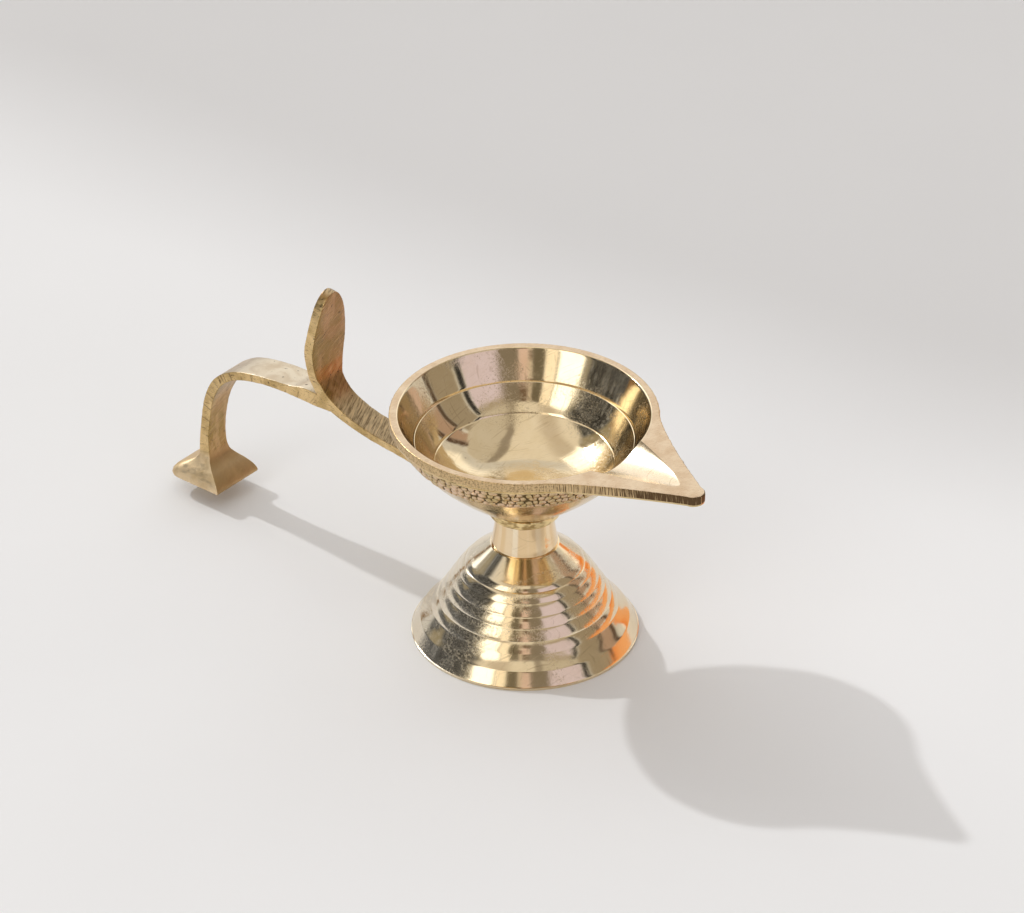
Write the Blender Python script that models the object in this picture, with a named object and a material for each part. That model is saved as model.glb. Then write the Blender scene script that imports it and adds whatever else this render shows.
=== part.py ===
"""Brass hand-held diya (oil lamp): a spouted bowl and a long cast handle on a turned, hollow foot.

Metres, +Z up. +X runs towards the tip of the spout, and the handle leaves the bowl towards -X.
The origin is on the table, under the middle of the lamp's length and width.

How it is put together: a threaded stud stands in a blind hole under the bowl. The eye at the
handle's inner end, the neck sleeve and the foot slide up over the stud, and a plain washer, a
split spring washer and a hexagon nut inside the hollow foot clamp the stack together.
"""

import math

import bmesh
import bpy
from mathutils import Matrix, Vector

# Driving dimensions, in metres.
GAP = 0.0003
LATHE_STEPS = 64
SMALL_STEPS = 32

RIM_RADIUS = 0.0280
RIM_HEIGHT = 0.0532
RIM_EDGE = 0.0020
RIM_ROOT_RADIUS = 0.0276
MOUTH_RADIUS = 0.0263
SPOUT_REACH = 0.0484
SPOUT_TIP_RADIUS = 0.00232
SPOUT_LEAVE_ANGLE = math.radians(40.7)
HANDLE_REACH = 0.0964
HANDLE_TURN = math.radians(2.7)
FOOT_FACE_HALF_WIDTH = 0.00414
HANDLE_END = HANDLE_REACH * math.cos(HANDLE_TURN) + FOOT_FACE_HALF_WIDTH * math.sin(HANDLE_TURN)
AXIS_X = (HANDLE_END - SPOUT_REACH) / 2.0

TROUGH_START = 0.0220
TROUGH_END = 0.0423
TROUGH_RUN = 0.0173
TROUGH_DEPTH = 0.0034
TROUGH_HALF_WIDTH = 0.0078
KEEL_START = 0.0180
KEEL_END = 0.0440
KEEL_WALL = 0.0015

EYE_BOTTOM = 0.0291
EYE_HEIGHT = 0.0019
EYE_RADIUS = 0.0076
STUD_RADIUS = 0.00245
STUD_HOLE_RADIUS = STUD_RADIUS + GAP
STUD_TOP = 0.0342
STUD_BOTTOM = 0.0098

BOWL_FOOT = EYE_BOTTOM + EYE_HEIGHT + GAP
BOWL_FLOOR = 0.0362
CUT_OVERRUN = 0.0010

SLEEVE_TOP_RADIUS = 0.0062
SLEEVE_FOOT_RADIUS = 0.0070
SLEEVE_TOP = EYE_BOTTOM - GAP
SLEEVE_FOOT = 0.0219

BASE_RADIUS = 0.0240
BASE_BAND_RADIUS = 0.02205
BASE_BAND_HEIGHT = 0.0035
BASE_TOP = SLEEVE_FOOT - GAP
BASE_CEILING = 0.0186
BASE_WALL = 0.0017
BEAD_GROOVE = 0.00022
BEAD_SWELL = 0.00018

WASHER_RADIUS = 0.0050
WASHER_THICKNESS = 0.0010
SPRING_RADIUS = 0.0044
SPRING_THICKNESS = 0.0012
NUT_ACROSS_FLATS = 0.0080
NUT_HEIGHT = 0.0040
STUD_CHAMFER = 0.0005

CAST_EDGE = 0.0002
FOOT_CENTRE = 0.08885
FOOT_CLEARANCE = 0.0039
FOOT_HALF_LENGTH = HANDLE_REACH - FOOT_CENTRE
FOOT_HALF_WIDTH = 0.0069
FOOT_CORNER = 0.0031
LEAF_REACH = 0.0547
LEAF_WIDEST = 0.0489
LEAF_TIP = 0.0628
LEAF_HALF_WIDTH = 0.0053
LEAF_THICKNESS = 0.0023

BRASS = (0.80, 0.62, 0.36)
BRASS_CAST = (0.66, 0.49, 0.26)
BRASS_PINK = (0.82, 0.63, 0.43)
STEEL = (0.62, 0.62, 0.60)


def clear_scene():
    for item in list(bpy.data.objects):
        bpy.data.objects.remove(item, do_unlink=True)


def finish(name, colour, roughness):
    """A metal for one sub-part."""
    material = bpy.data.materials.new(name)
    material.use_nodes = True
    shader = material.node_tree.nodes["Principled BSDF"]
    shader.inputs["Base Color"].default_value = (*colour, 1.0)
    shader.inputs["Metallic"].default_value = 1.0
    shader.inputs["Roughness"].default_value = roughness
    return material


def add_object(name, bm, material=None):
    """Turn a bmesh into a smooth-shaded object on the lamp's axis."""
    bmesh.ops.remove_doubles(bm, verts=bm.verts, dist=1e-6)
    bmesh.ops.recalc_face_normals(bm, faces=bm.faces)
    mesh = bpy.data.meshes.new(name)
    bm.to_mesh(mesh)
    bm.free()
    mesh.shade_smooth()
    mesh.set_sharp_from_angle(angle=math.radians(28.0))
    item = bpy.data.objects.new(name, mesh)
    item.location.x = AXIS_X
    bpy.context.scene.collection.objects.link(item)
    if material is not None:
        mesh.materials.append(material)
    return item


def boolean(target, tool, operation):
    """Join a tool to a target, or cut it away, and leave the tool as a hidden guide."""
    modifier = target.modifiers.new(tool.name, "BOOLEAN")
    modifier.object = tool
    modifier.operation = operation
    modifier.solver = "EXACT"
    tool.hide_render = True
    tool.display_type = "WIRE"


def turned_mesh(profile, steps, closed):
    """Spin (radius, height) points about the lamp's axis. An open profile starts and ends on it."""
    bm = bmesh.new()
    verts = [bm.verts.new((radius, 0.0, height)) for radius, height in profile]
    followers = verts[1:] + verts[:1] if closed else verts[1:]
    edges = [bm.edges.new(pair) for pair in zip(verts, followers)]
    bmesh.ops.spin(
        bm, geom=verts + edges, cent=(0.0, 0.0, 0.0), axis=(0.0, 0.0, 1.0),
        angle=math.tau, space=Matrix.Identity(4), steps=steps, use_merge=True,
    )
    return bm


def loft_mesh(rings):
    """Skin a row of rings that have the same number of points, and cap both ends."""
    bm = bmesh.new()
    rows = [[bm.verts.new(point) for point in ring] for ring in rings]
    for row, following in zip(rows, rows[1:]):
        for i in range(len(row)):
            j = (i + 1) % len(row)
            bm.faces.new((row[i], row[j], following[j], following[i]))
    bm.faces.new(rows[0][::-1])
    bm.faces.new(rows[-1])
    return bm


def prism_mesh(outline, low, high):
    """Extrude an outline of (x, y) points from one height to another."""
    return loft_mesh([[(x, y, z) for x, y in outline] for z in (low, high)])


def bezier(start, handle_a, handle_b, end, count):
    """Points along one cubic curve, both ends included."""
    points = []
    for i in range(count + 1):
        t = i / count
        weights = ((1 - t) ** 3, 3 * t * (1 - t) ** 2, 3 * t * t * (1 - t), t ** 3)
        points.append(sum((w * Vector(p) for w, p in zip(weights, (start, handle_a, handle_b, end))),
                          Vector((0.0,) * len(start))))
    return points


def spline(knots, per_span):
    """A smooth Catmull-Rom row of values through every knot."""
    rows = [Vector(knot) for knot in knots]
    rows = [2 * rows[0] - rows[1]] + rows + [2 * rows[-1] - rows[-2]]
    points = []
    for before, a, b, after in zip(rows, rows[1:], rows[2:], rows[3:]):
        for i in range(per_span):
            t = i / per_span
            points.append(0.5 * (2 * a + (b - before) * t + (2 * before - 5 * a + 4 * b - after) * t * t
                                 + (3 * a - before - 3 * b + after) * t ** 3))
    points.append(rows[-2])
    return points


# The bowl.

def rim_outline():
    """The flat rim seen from above: a circle drawn out into the pointed spout."""
    edge_steps, tip_steps, arc_steps = 9, 6, 50
    leave = SPOUT_LEAVE_ANGLE
    start = Vector((math.cos(leave), math.sin(leave))) * RIM_RADIUS
    start_pull = Vector((math.sin(leave), -math.cos(leave))) * 0.0040
    tip_side = Vector((SPOUT_REACH - 0.0020, 0.0023))
    tip_pull = Vector((-0.0116, 0.0059))
    edge = bezier(start, start + start_pull, tip_side + tip_pull, tip_side, edge_steps)
    tip_centre = SPOUT_REACH - SPOUT_TIP_RADIUS
    tip_angle = math.atan2(tip_side.y, tip_side.x - tip_centre)
    outline = [tuple(point) for point in edge]
    for i in range(1, tip_steps):
        angle = tip_angle * (1.0 - 2.0 * i / tip_steps)
        outline.append((tip_centre + SPOUT_TIP_RADIUS * math.cos(angle), SPOUT_TIP_RADIUS * math.sin(angle)))
    outline += [(x, -y) for x, y in outline[edge_steps::-1]]
    for i in range(1, arc_steps):
        angle = -leave - (math.tau - 2 * leave) * i / arc_steps
        outline.append((RIM_RADIUS * math.cos(angle), RIM_RADIUS * math.sin(angle)))
    return outline


def trough_size(reach):
    """Depth of the wick trough below the rim, and its half width, at a distance from the axis."""
    run = min(max((TROUGH_END - reach) / TROUGH_RUN, 0.004), 1.15)
    return TROUGH_DEPTH * run ** 1.2, TROUGH_HALF_WIDTH * run ** 0.7


def trough_mesh(wall, first, last, top):
    """A boat-shaped solid along the spout: the trough itself, or the metal a wall's width round it."""
    rings = []
    steps, arc_steps = 14, 8
    clear_of_rim = 0.00001
    for i in range(steps + 1):
        reach = first + (last - first) * i / steps
        depth, half_width = trough_size(reach)
        depth += wall * 1.1
        half_width += wall
        ring = [(reach, half_width, top)]
        for j in range(arc_steps + 1):
            angle = math.pi * j / arc_steps
            height = RIM_HEIGHT - depth * math.sin(angle) - clear_of_rim
            ring.append((reach, half_width * math.cos(angle), height))
        ring.append((reach, -half_width, top))
        rings.append(ring)
    return loft_mesh(rings)


def build_bowl():
    """Turned cup with a flat pointed rim, a trough for the wick and a blind hole for the stud."""
    brass = finish("bowl", BRASS, 0.16)
    under_rim = RIM_HEIGHT - RIM_EDGE
    outside = [
        (0.0, STUD_TOP), (STUD_HOLE_RADIUS, STUD_TOP), (STUD_HOLE_RADIUS, BOWL_FOOT),
        (0.0079, BOWL_FOOT), (0.0081, 0.0319), (0.0090, 0.0327), (0.0108, 0.0333),
        (0.0114, 0.0337), (0.0140, 0.0357), (0.0170, 0.0382), (0.0199, 0.0409),
        (0.0219, 0.0431), (0.0244, 0.0461), (0.0264, 0.0491), (RIM_ROOT_RADIUS, under_rim),
        (RIM_ROOT_RADIUS, under_rim + RIM_EDGE / 2), (0.0, under_rim + RIM_EDGE / 2),
    ]
    bowl = add_object("bowl", turned_mesh(outside, LATHE_STEPS, closed=False), brass)
    flange = add_object("bowl_flange", prism_mesh(rim_outline(), under_rim, RIM_HEIGHT))
    keel = add_object("bowl_keel", trough_mesh(KEEL_WALL, KEEL_START, KEEL_END, under_rim + RIM_EDGE / 3))
    inside = [
        (0.0, BOWL_FLOOR), (0.0050, BOWL_FLOOR + 0.0001), (0.0100, 0.0368), (0.0140, 0.03815),
        (0.0165, 0.03965), (0.0186, 0.0414), (0.01875, 0.04145), (0.0207, 0.04375),
        (0.0227, 0.0467), (0.02287, 0.0468), (0.0246, 0.0500), (MOUTH_RADIUS, RIM_HEIGHT),
        (MOUTH_RADIUS + CUT_OVERRUN, RIM_HEIGHT + 2 * CUT_OVERRUN), (0.0, RIM_HEIGHT + 2 * CUT_OVERRUN),
    ]
    cavity = add_object("bowl_cavity", turned_mesh(inside, LATHE_STEPS, closed=False))
    trough = add_object("bowl_trough", trough_mesh(0.0, TROUGH_START, TROUGH_END, RIM_HEIGHT + CUT_OVERRUN))
    boolean(bowl, flange, "UNION")
    boolean(bowl, keel, "UNION")
    boolean(bowl, cavity, "DIFFERENCE")
    boolean(bowl, trough, "DIFFERENCE")


# The handle, one casting.

def ribbon_mesh(knots, per_span, upright=0):
    """A flat bar along a route in the plane of symmetry, with its corners broken.

    A knot is (reach, height, thickness, half width, corner), with reach measured from the lamp's
    axis towards the handle. The corner is cut off the bar's outer side, which is the upper side of
    a stretch that runs outwards. The last upright rows stand level on one another.
    """
    rows = spline(knots, per_span)
    rings = []
    for i, row in enumerate(rows):
        before = rows[max(i - 1, 0)]
        after = rows[min(i + 1, len(rows) - 1)]
        along = Vector((after[0] - before[0], after[1] - before[1])).normalized()
        if i >= len(rows) - upright:
            along = Vector((0.0, -1.0))
        across = Vector((-along.y, along.x))
        half_thickness, half_width = row[2] / 2, row[3]
        ring = []
        for side, face in ((1, 1), (1, -1), (-1, -1), (-1, 1)):
            corner = row[4] if side > 0 else CAST_EDGE
            corner = min(corner, 0.4 * half_thickness, 0.4 * half_width)
            cuts = [(half_thickness, half_width - corner), (half_thickness - corner, half_width)]
            if side == face:
                cuts.reverse()
            for rise, spread in cuts:
                point = across * (side * rise)
                ring.append((-(row[0] + point.x), face * spread, row[1] + point.y))
        rings.append(ring)
    return loft_mesh(rings)


def strap_and_leaf():
    """From inside the eye, under the bowl and out, then up into the leaf-shaped thumb rest."""
    knots = [
        (0.0055, 0.03005, 0.00185, 0.0032), (0.0080, 0.03007, 0.0018, 0.0032),
        (0.0175, 0.0308, 0.0018, 0.0033), (0.0290, 0.0323, 0.0018, 0.0033),
        (0.0395, 0.0337, 0.0018, 0.0034), (0.0460, 0.0350, 0.0020, 0.0034),
        (0.0508, 0.0371, 0.0025, 0.0034), (0.0538, 0.0404, 0.0026, 0.0036),
        (0.0546, 0.0439, 0.0023, 0.0046),
    ]
    lean, thinning = 0.0018, 0.0003
    for step in (0.0, 0.3, 0.55, 0.75, 0.88, 0.96, 1.0):
        height = LEAF_WIDEST + (LEAF_TIP - LEAF_WIDEST) * step
        half_width = LEAF_HALF_WIDTH * (1.0 - 0.99 * step * step) ** 0.5
        knots.append((LEAF_REACH - lean * step, height, LEAF_THICKNESS - thinning * step, half_width))
    return ribbon_mesh([(*knot, CAST_EDGE) for knot in knots], 3)


def arch_and_foot():
    """From the root of the leaf over the finger arch, down the leg and out into the square foot."""
    knots = [
        (0.0505, 0.0362, 0.0018, 0.0033), (0.0540, 0.0368, 0.0031, 0.0034),
        (0.0577, 0.0371, 0.0032, 0.0036), (0.0617, 0.0367, 0.0022, 0.0038),
        (0.0674, 0.0364, 0.0018, 0.0039), (0.0731, 0.0356, 0.0019, 0.0040),
        (0.0780, 0.0340, 0.0020, 0.0040), (0.0821, 0.0310, 0.0021, 0.0038),
        (0.0852, 0.0264, 0.0023, 0.0033), (0.0869, 0.0211, 0.0024, 0.0029),
        (0.0876, 0.0159, 0.0024, 0.0028), (0.0878, 0.0117, 0.0027, 0.0029),
    ]
    knots = [(*knot, CAST_EDGE) for knot in knots]
    foot = [
        (0.0876, 0.0058, 0.0030, 0.0033, CAST_EDGE), (0.0879, 0.0044, 0.0054, 0.0040, 0.0004),
        (0.0883, 0.0030, 0.0102, 0.0051, 0.0012), (0.08865, 0.0016, 0.0142, 0.0064, 0.0024),
        (FOOT_CENTRE, 0.0007, 2 * FOOT_HALF_LENGTH, FOOT_HALF_WIDTH, FOOT_CORNER),
        (FOOT_CENTRE, 0.0, 2 * FOOT_HALF_LENGTH, FOOT_HALF_WIDTH, FOOT_CORNER),
    ]
    foot = [(reach, height + FOOT_CLEARANCE, *size) for reach, height, *size in foot]
    return ribbon_mesh(knots + foot, 2, upright=2 * len(foot))


def build_handle():
    """Strap, thumb rest, arch, leg and foot in one piece, with an eye that the stud goes through.

    The handle is clamped a little off the line of the spout, and its foot hangs just above the table.
    """
    chamfer = 0.0003
    eye_top = EYE_BOTTOM + EYE_HEIGHT
    eye = [
        (STUD_HOLE_RADIUS, EYE_BOTTOM), (EYE_RADIUS - chamfer, EYE_BOTTOM),
        (EYE_RADIUS, EYE_BOTTOM + chamfer), (EYE_RADIUS, eye_top), (STUD_HOLE_RADIUS, eye_top),
    ]
    brass = finish("handle", BRASS_CAST, 0.42)
    handle = add_object("handle", turned_mesh(eye, SMALL_STEPS, closed=True), brass)
    strap = add_object("handle_strap", strap_and_leaf())
    arch = add_object("handle_arch", arch_and_foot())
    strap.rotation_euler.z = HANDLE_TURN
    arch.rotation_euler.z = HANDLE_TURN
    boolean(handle, strap, "UNION")
    boolean(handle, arch, "UNION")


# The stem, the foot and what clamps them.

def build_neck_sleeve():
    """Plain turned spacer between the handle's eye and the foot."""
    profile = [
        (STUD_HOLE_RADIUS, SLEEVE_FOOT), (SLEEVE_FOOT_RADIUS, SLEEVE_FOOT),
        (SLEEVE_FOOT_RADIUS - 0.0001, SLEEVE_FOOT + 0.0010), (0.0064, SLEEVE_FOOT + 0.0038),
        (SLEEVE_TOP_RADIUS, SLEEVE_TOP), (STUD_HOLE_RADIUS, SLEEVE_TOP),
    ]
    brass = finish("neck_sleeve", BRASS_PINK, 0.14)
    add_object("neck_sleeve", turned_mesh(profile, LATHE_STEPS, closed=True), brass)


def beaded_slope():
    """Outer line of the foot from its top down to the band: a smooth shoulder, then turned beads."""
    shoulder = [(0.0074, BASE_TOP), (0.0098, 0.0195), (0.0111, 0.0184)]
    edges = [(0.0126, 0.0168), (0.0140, 0.0151), (0.0155, 0.0128), (0.01675, 0.0107), (0.0181, 0.0083),
             (0.0196, 0.0062)]
    line = list(shoulder)
    for above, below in zip([shoulder[-1]] + edges, edges):
        a, b = Vector(above), Vector(below)
        out = Vector((a.y - b.y, b.x - a.x)).normalized()
        line.append(tuple((a + b) / 2 + out * BEAD_SWELL))
        line.append(tuple(b - out * BEAD_GROOVE))
    return line


def build_base():
    """Hollow conical foot with a flat ring to stand on and a bored top."""
    lip_height, lip_step = 0.0005, 0.00015
    outside = beaded_slope() + [
        (BASE_BAND_RADIUS, BASE_BAND_HEIGHT), (BASE_RADIUS - lip_step, lip_height + lip_step),
        (BASE_RADIUS, lip_height), (BASE_RADIUS, 0.0),
    ]
    inside = [
        (BASE_RADIUS - BASE_WALL, 0.0), (BASE_BAND_RADIUS - BASE_WALL, BASE_BAND_HEIGHT), (0.0163, 0.0083),
        (0.0137, 0.0128), (0.0105, 0.0168), (0.0085, BASE_CEILING), (STUD_HOLE_RADIUS, BASE_CEILING),
        (STUD_HOLE_RADIUS, BASE_TOP),
    ]
    add_object("base", turned_mesh(outside + inside, LATHE_STEPS, closed=True), finish("base", BRASS, 0.18))


def build_stud():
    """Threaded rod, modelled at its outer diameter."""
    top = STUD_TOP - GAP
    profile = [
        (0.0, STUD_BOTTOM), (STUD_RADIUS - STUD_CHAMFER, STUD_BOTTOM),
        (STUD_RADIUS, STUD_BOTTOM + STUD_CHAMFER), (STUD_RADIUS, top - STUD_CHAMFER),
        (STUD_RADIUS - STUD_CHAMFER, top), (0.0, top),
    ]
    add_object("tie_stud", turned_mesh(profile, SMALL_STEPS, closed=False), finish("tie_stud", STEEL, 0.35))


def ring_profile(radius, low, high):
    """Section of a flat ring that slides on the stud."""
    return [(STUD_HOLE_RADIUS, low), (radius, low), (radius, high), (STUD_HOLE_RADIUS, high)]


def build_washer(top):
    """Plain washer, its upper face at the given height."""
    profile = ring_profile(WASHER_RADIUS, top - WASHER_THICKNESS, top)
    add_object("washer", turned_mesh(profile, SMALL_STEPS, closed=True), finish("washer", BRASS, 0.30))


def build_spring_washer(top):
    """Washer with a slanting slit through one side."""
    low = top - SPRING_THICKNESS
    steel = finish("spring_washer", STEEL, 0.38)
    ring = turned_mesh(ring_profile(SPRING_RADIUS, low, top), SMALL_STEPS, closed=True)
    spring = add_object("spring_washer", ring, steel)
    inner, outer, slant, half_slit = 0.0018, 0.0052, 0.0004, 0.0003
    slit = [(inner, half_slit), (inner, -half_slit), (outer, -half_slit - slant), (outer, half_slit - slant)]
    cutter = add_object("spring_slit", prism_mesh(slit, low - CUT_OVERRUN, top + CUT_OVERRUN))
    boolean(spring, cutter, "DIFFERENCE")


def build_nut(top):
    """Hexagon nut with a round bore."""
    low = top - NUT_HEIGHT
    across_corners = NUT_ACROSS_FLATS / 2 / math.cos(math.radians(30.0))
    corners = [math.radians(60.0 * i) for i in range(6)]
    hexagon = [(across_corners * math.cos(angle), across_corners * math.sin(angle)) for angle in corners]
    nut = add_object("nut", prism_mesh(hexagon, low, top), finish("nut", BRASS, 0.30))
    bore = [(0.0, low - CUT_OVERRUN), (STUD_HOLE_RADIUS, low - CUT_OVERRUN),
            (STUD_HOLE_RADIUS, top + CUT_OVERRUN), (0.0, top + CUT_OVERRUN)]
    boolean(nut, add_object("nut_bore", turned_mesh(bore, SMALL_STEPS, closed=False)), "DIFFERENCE")


def build_fasteners():
    """Washer, spring washer and nut, from the ceiling of the foot downwards."""
    top = BASE_CEILING - GAP
    build_washer(top)
    top -= WASHER_THICKNESS + GAP
    build_spring_washer(top)
    top -= SPRING_THICKNESS + GAP
    build_nut(top)


def main():
    clear_scene()
    build_bowl()
    build_handle()
    build_neck_sleeve()
    build_base()
    build_stud()
    build_fasteners()


main()
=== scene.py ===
"""Looks for the brass hand-held diya: fine meshes, brass finishes, a pale table and soft light."""

import math

import bmesh
import bpy
import numpy as np
from mathutils import Matrix, Vector


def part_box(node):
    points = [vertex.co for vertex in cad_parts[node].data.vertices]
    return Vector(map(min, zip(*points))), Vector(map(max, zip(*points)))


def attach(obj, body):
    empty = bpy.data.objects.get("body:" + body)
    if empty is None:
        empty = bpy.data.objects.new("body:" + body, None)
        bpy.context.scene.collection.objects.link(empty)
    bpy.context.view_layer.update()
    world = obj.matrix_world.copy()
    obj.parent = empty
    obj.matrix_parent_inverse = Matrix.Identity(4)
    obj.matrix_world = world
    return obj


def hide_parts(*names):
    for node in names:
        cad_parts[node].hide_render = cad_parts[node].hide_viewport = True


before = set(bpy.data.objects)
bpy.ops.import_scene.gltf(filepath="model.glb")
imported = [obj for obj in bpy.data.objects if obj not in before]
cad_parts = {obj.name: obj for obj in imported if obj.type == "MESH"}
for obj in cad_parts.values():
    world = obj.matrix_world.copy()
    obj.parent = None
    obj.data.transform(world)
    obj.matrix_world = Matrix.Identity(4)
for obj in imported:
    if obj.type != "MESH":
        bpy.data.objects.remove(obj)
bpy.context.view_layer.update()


# The lamp's axis and the heights where the pieces meet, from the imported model.
BASE_LOW, BASE_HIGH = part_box("base")
BOWL_LOW, BOWL_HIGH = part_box("bowl")
SLEEVE_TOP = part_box("neck_sleeve")[1].z
AXIS_X = (BASE_LOW.x + BASE_HIGH.x) / 2.0
RIM_HEIGHT = BOWL_HIGH.z
RIM_RADIUS = BOWL_HIGH.y
SPOUT_REACH = BOWL_HIGH.x - AXIS_X
BOWL_FOOT = BOWL_LOW.z

# The rest of the drawing, in metres, as in the CAD part.
RIM_EDGE = 0.0020
RIM_ROOT_RADIUS = 0.0276
MOUTH_RADIUS = 0.0263
EDGE_ROUND = 0.00022
SPOUT_LEAVE_ANGLE = math.radians(40.7)
SPOUT_TIP_RADIUS = 0.00232
TROUGH_END = 0.0423
TROUGH_RUN = 0.0173
TROUGH_DEPTH = 0.0034
TROUGH_HALF_WIDTH = 0.0078
KEEL_START = 0.018
KEEL_END = 0.0440
KEEL_SIDE = 0.0015
KEEL_UNDER = 0.0017
STUD_HOLE_RADIUS = 0.00275
STUD_HOLE_TOP = 0.0342
EYE_BOTTOM = 0.0291
EYE_TOP = 0.0310
EYE_RADIUS = 0.0076
EYE_ROUND = 0.0003
BASE_CEILING = 0.0186
# How far the handle is clamped off the spout's line, and how high its square foot is above the table.
HANDLE_TURN = math.radians(2.7)
FOOT_CLEARANCE = 0.0039
LEAF_WIDEST = 0.0489
LEAF_TIP = 0.0628
LEAF_REACH = 0.0547
LEAF_LEAN = 0.0018
LEAF_HALF_WIDTH = 0.0053
LEAF_THICKNESS = 0.0023
LEAF_TAPER = 0.0003
# Centre of the finger arch, as distance from the lamp's axis and height.
ARCH_CENTRE = (0.0695, 0.0155)

rng = np.random.default_rng(7)


# Meshes.

def mesh_from(name, points, quads, triangles=()):
    """A smooth-shaded mesh from arrays of points and faces."""
    mesh = bpy.data.meshes.new(name)
    quads = np.asarray(quads, np.int32).reshape(-1, 4)
    triangles = np.asarray(triangles, np.int32).reshape(-1, 3)
    mesh.vertices.add(len(points))
    mesh.vertices.foreach_set("co", np.asarray(points, np.float32).ravel())
    mesh.loops.add(quads.size + triangles.size)
    mesh.loops.foreach_set("vertex_index", np.concatenate([quads.ravel(), triangles.ravel()]))
    mesh.polygons.add(len(quads) + len(triangles))
    starts = np.concatenate([np.arange(len(quads)) * 4, quads.size + np.arange(len(triangles)) * 3])
    mesh.polygons.foreach_set("loop_start", starts.astype(np.int32))
    mesh.update(calc_edges=True)
    mesh.validate()
    mesh.shade_smooth()
    return mesh


def turned_grid(name, grid, start_pole=False, end_pole=False, close_rows=False):
    """Skin a grid of points, [row along the section, column round the axis]. A pole row is one point.

    Returns the mesh, and the number in the grid of each point that it keeps."""
    rows, cols = grid.shape[:2]
    index = np.arange(rows * cols).reshape(rows, cols)
    first = 1 if start_pole else 0
    last = rows - 1 if end_pole else rows
    body = index[first:last]
    if close_rows:
        body = np.vstack([body, body[:1]])
    a = body[:-1]
    b = np.roll(a, -1, axis=1)
    d = body[1:]
    c = np.roll(d, -1, axis=1)
    quads = np.stack([a, b, c, d], axis=-1).reshape(-1, 4)
    triangles = []
    if start_pole:
        ring = index[1]
        triangles.append(np.stack([np.full(cols, index[0, 0]), np.roll(ring, -1), ring], axis=-1))
    if end_pole:
        ring = index[-2]
        triangles.append(np.stack([ring, np.roll(ring, -1), np.full(cols, index[-1, 0])], axis=-1))
    triangles = np.concatenate(triangles) if triangles else np.zeros((0, 3), int)
    used = np.unique(np.concatenate([quads.ravel(), triangles.ravel()]))
    remap = np.full(rows * cols, -1)
    remap[used] = np.arange(len(used))
    mesh = mesh_from(name, grid.reshape(-1, 3)[used], remap[quads], remap[triangles])
    return mesh, used


def add_object(name, data):
    item = bpy.data.objects.new(name, data)
    bpy.context.scene.collection.objects.link(item)
    return item


def hide_from(item, rays):
    """Keep an object out of sight of some kinds of light ray."""
    for ray in rays:
        setattr(item, f"visible_{ray}", False)


def add_piece(name, mesh, materials, node, crease=32.0):
    """Put a piece into the scene in place of a CAD node."""
    mesh.set_sharp_from_angle(angle=math.radians(crease))
    for material in materials:
        mesh.materials.append(material)
    piece = add_object(name, mesh)
    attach(piece, "root")
    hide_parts(node)
    return piece


def smooth_line(points, spacing):
    """Points on a smooth curve through a few given ones, about a spacing apart."""
    rows = np.asarray(points, float)
    rows = np.vstack([2 * rows[0] - rows[1], rows, 2 * rows[-1] - rows[-2]])
    out = []
    for before, a, b, after in zip(rows, rows[1:], rows[2:], rows[3:]):
        count = max(1, int(round(np.linalg.norm(b[:2] - a[:2]) / spacing)))
        for t in np.arange(count) / count:
            out.append(0.5 * (2 * a + (b - before) * t + (2 * before - 5 * a + 4 * b - after) * t * t
                              + (3 * a - before - 3 * b + after) * t ** 3))
    out.append(rows[-2])
    return np.array(out)


def densify(points, spacing):
    """Extra points along straight runs."""
    out = []
    for a, b in zip(points, points[1:]):
        count = max(1, int(math.dist(a, b) / spacing))
        out.extend(np.linspace(a, b, count, endpoint=False))
    out.append(points[-1])
    return np.array(out)


def smoothstep(low, high, value):
    """0 below the low limit, 1 above the high one and a smooth rise between them."""
    t = np.clip((value - low) / (high - low), 0.0, 1.0)
    return t * t * (3.0 - 2.0 * t)


def wobble(angle, seed, waves):
    """A smooth uneven line round the axis, about -1 to 1, the same after one turn."""
    local = np.random.default_rng(seed)
    total = np.zeros_like(angle)
    for count in waves:
        strength = local.normal()
        total += strength * np.sin(count * angle + local.uniform(0, math.tau)) / math.sqrt(len(waves))
    return total


# The bowl.

# The spout's edge: where it meets the tip's round, back from the end and to the side, and the pulls that
# bend it at the round rim and at the tip.
TIP_BACK, TIP_SIDE = 0.0020, 0.0023
RIM_PULL = 0.0040
TIP_PULL = (-0.0116, 0.0059)


def rim_outline():
    """The flat rim seen from above, as (angle, radius) from the front of the spout round to the back."""
    leave = SPOUT_LEAVE_ANGLE
    start = np.array([math.cos(leave), math.sin(leave)]) * RIM_RADIUS
    tip_side = np.array([SPOUT_REACH - TIP_BACK, TIP_SIDE])
    pull_a = start + np.array([math.sin(leave), -math.cos(leave)]) * RIM_PULL
    pull_b = tip_side + np.array(TIP_PULL)
    t = np.linspace(0, 1, 200)[:, None]
    edge = ((1 - t) ** 3 * start + 3 * t * (1 - t) ** 2 * pull_a
            + 3 * t * t * (1 - t) * pull_b + t ** 3 * tip_side)
    centre = SPOUT_REACH - SPOUT_TIP_RADIUS
    tip_angle = math.atan2(tip_side[1], tip_side[0] - centre)
    sweep = np.linspace(tip_angle, 0.0, 60)[1:]
    tip = np.stack([centre + SPOUT_TIP_RADIUS * np.cos(sweep), SPOUT_TIP_RADIUS * np.sin(sweep)], axis=1)
    points = np.vstack([edge, tip])[::-1]
    arc = np.linspace(leave, math.pi, 400)[1:]
    points = np.vstack([points, np.stack([RIM_RADIUS * np.cos(arc), RIM_RADIUS * np.sin(arc)], axis=1)])
    return np.arctan2(points[:, 1], points[:, 0]), np.hypot(points[:, 0], points[:, 1])


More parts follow.
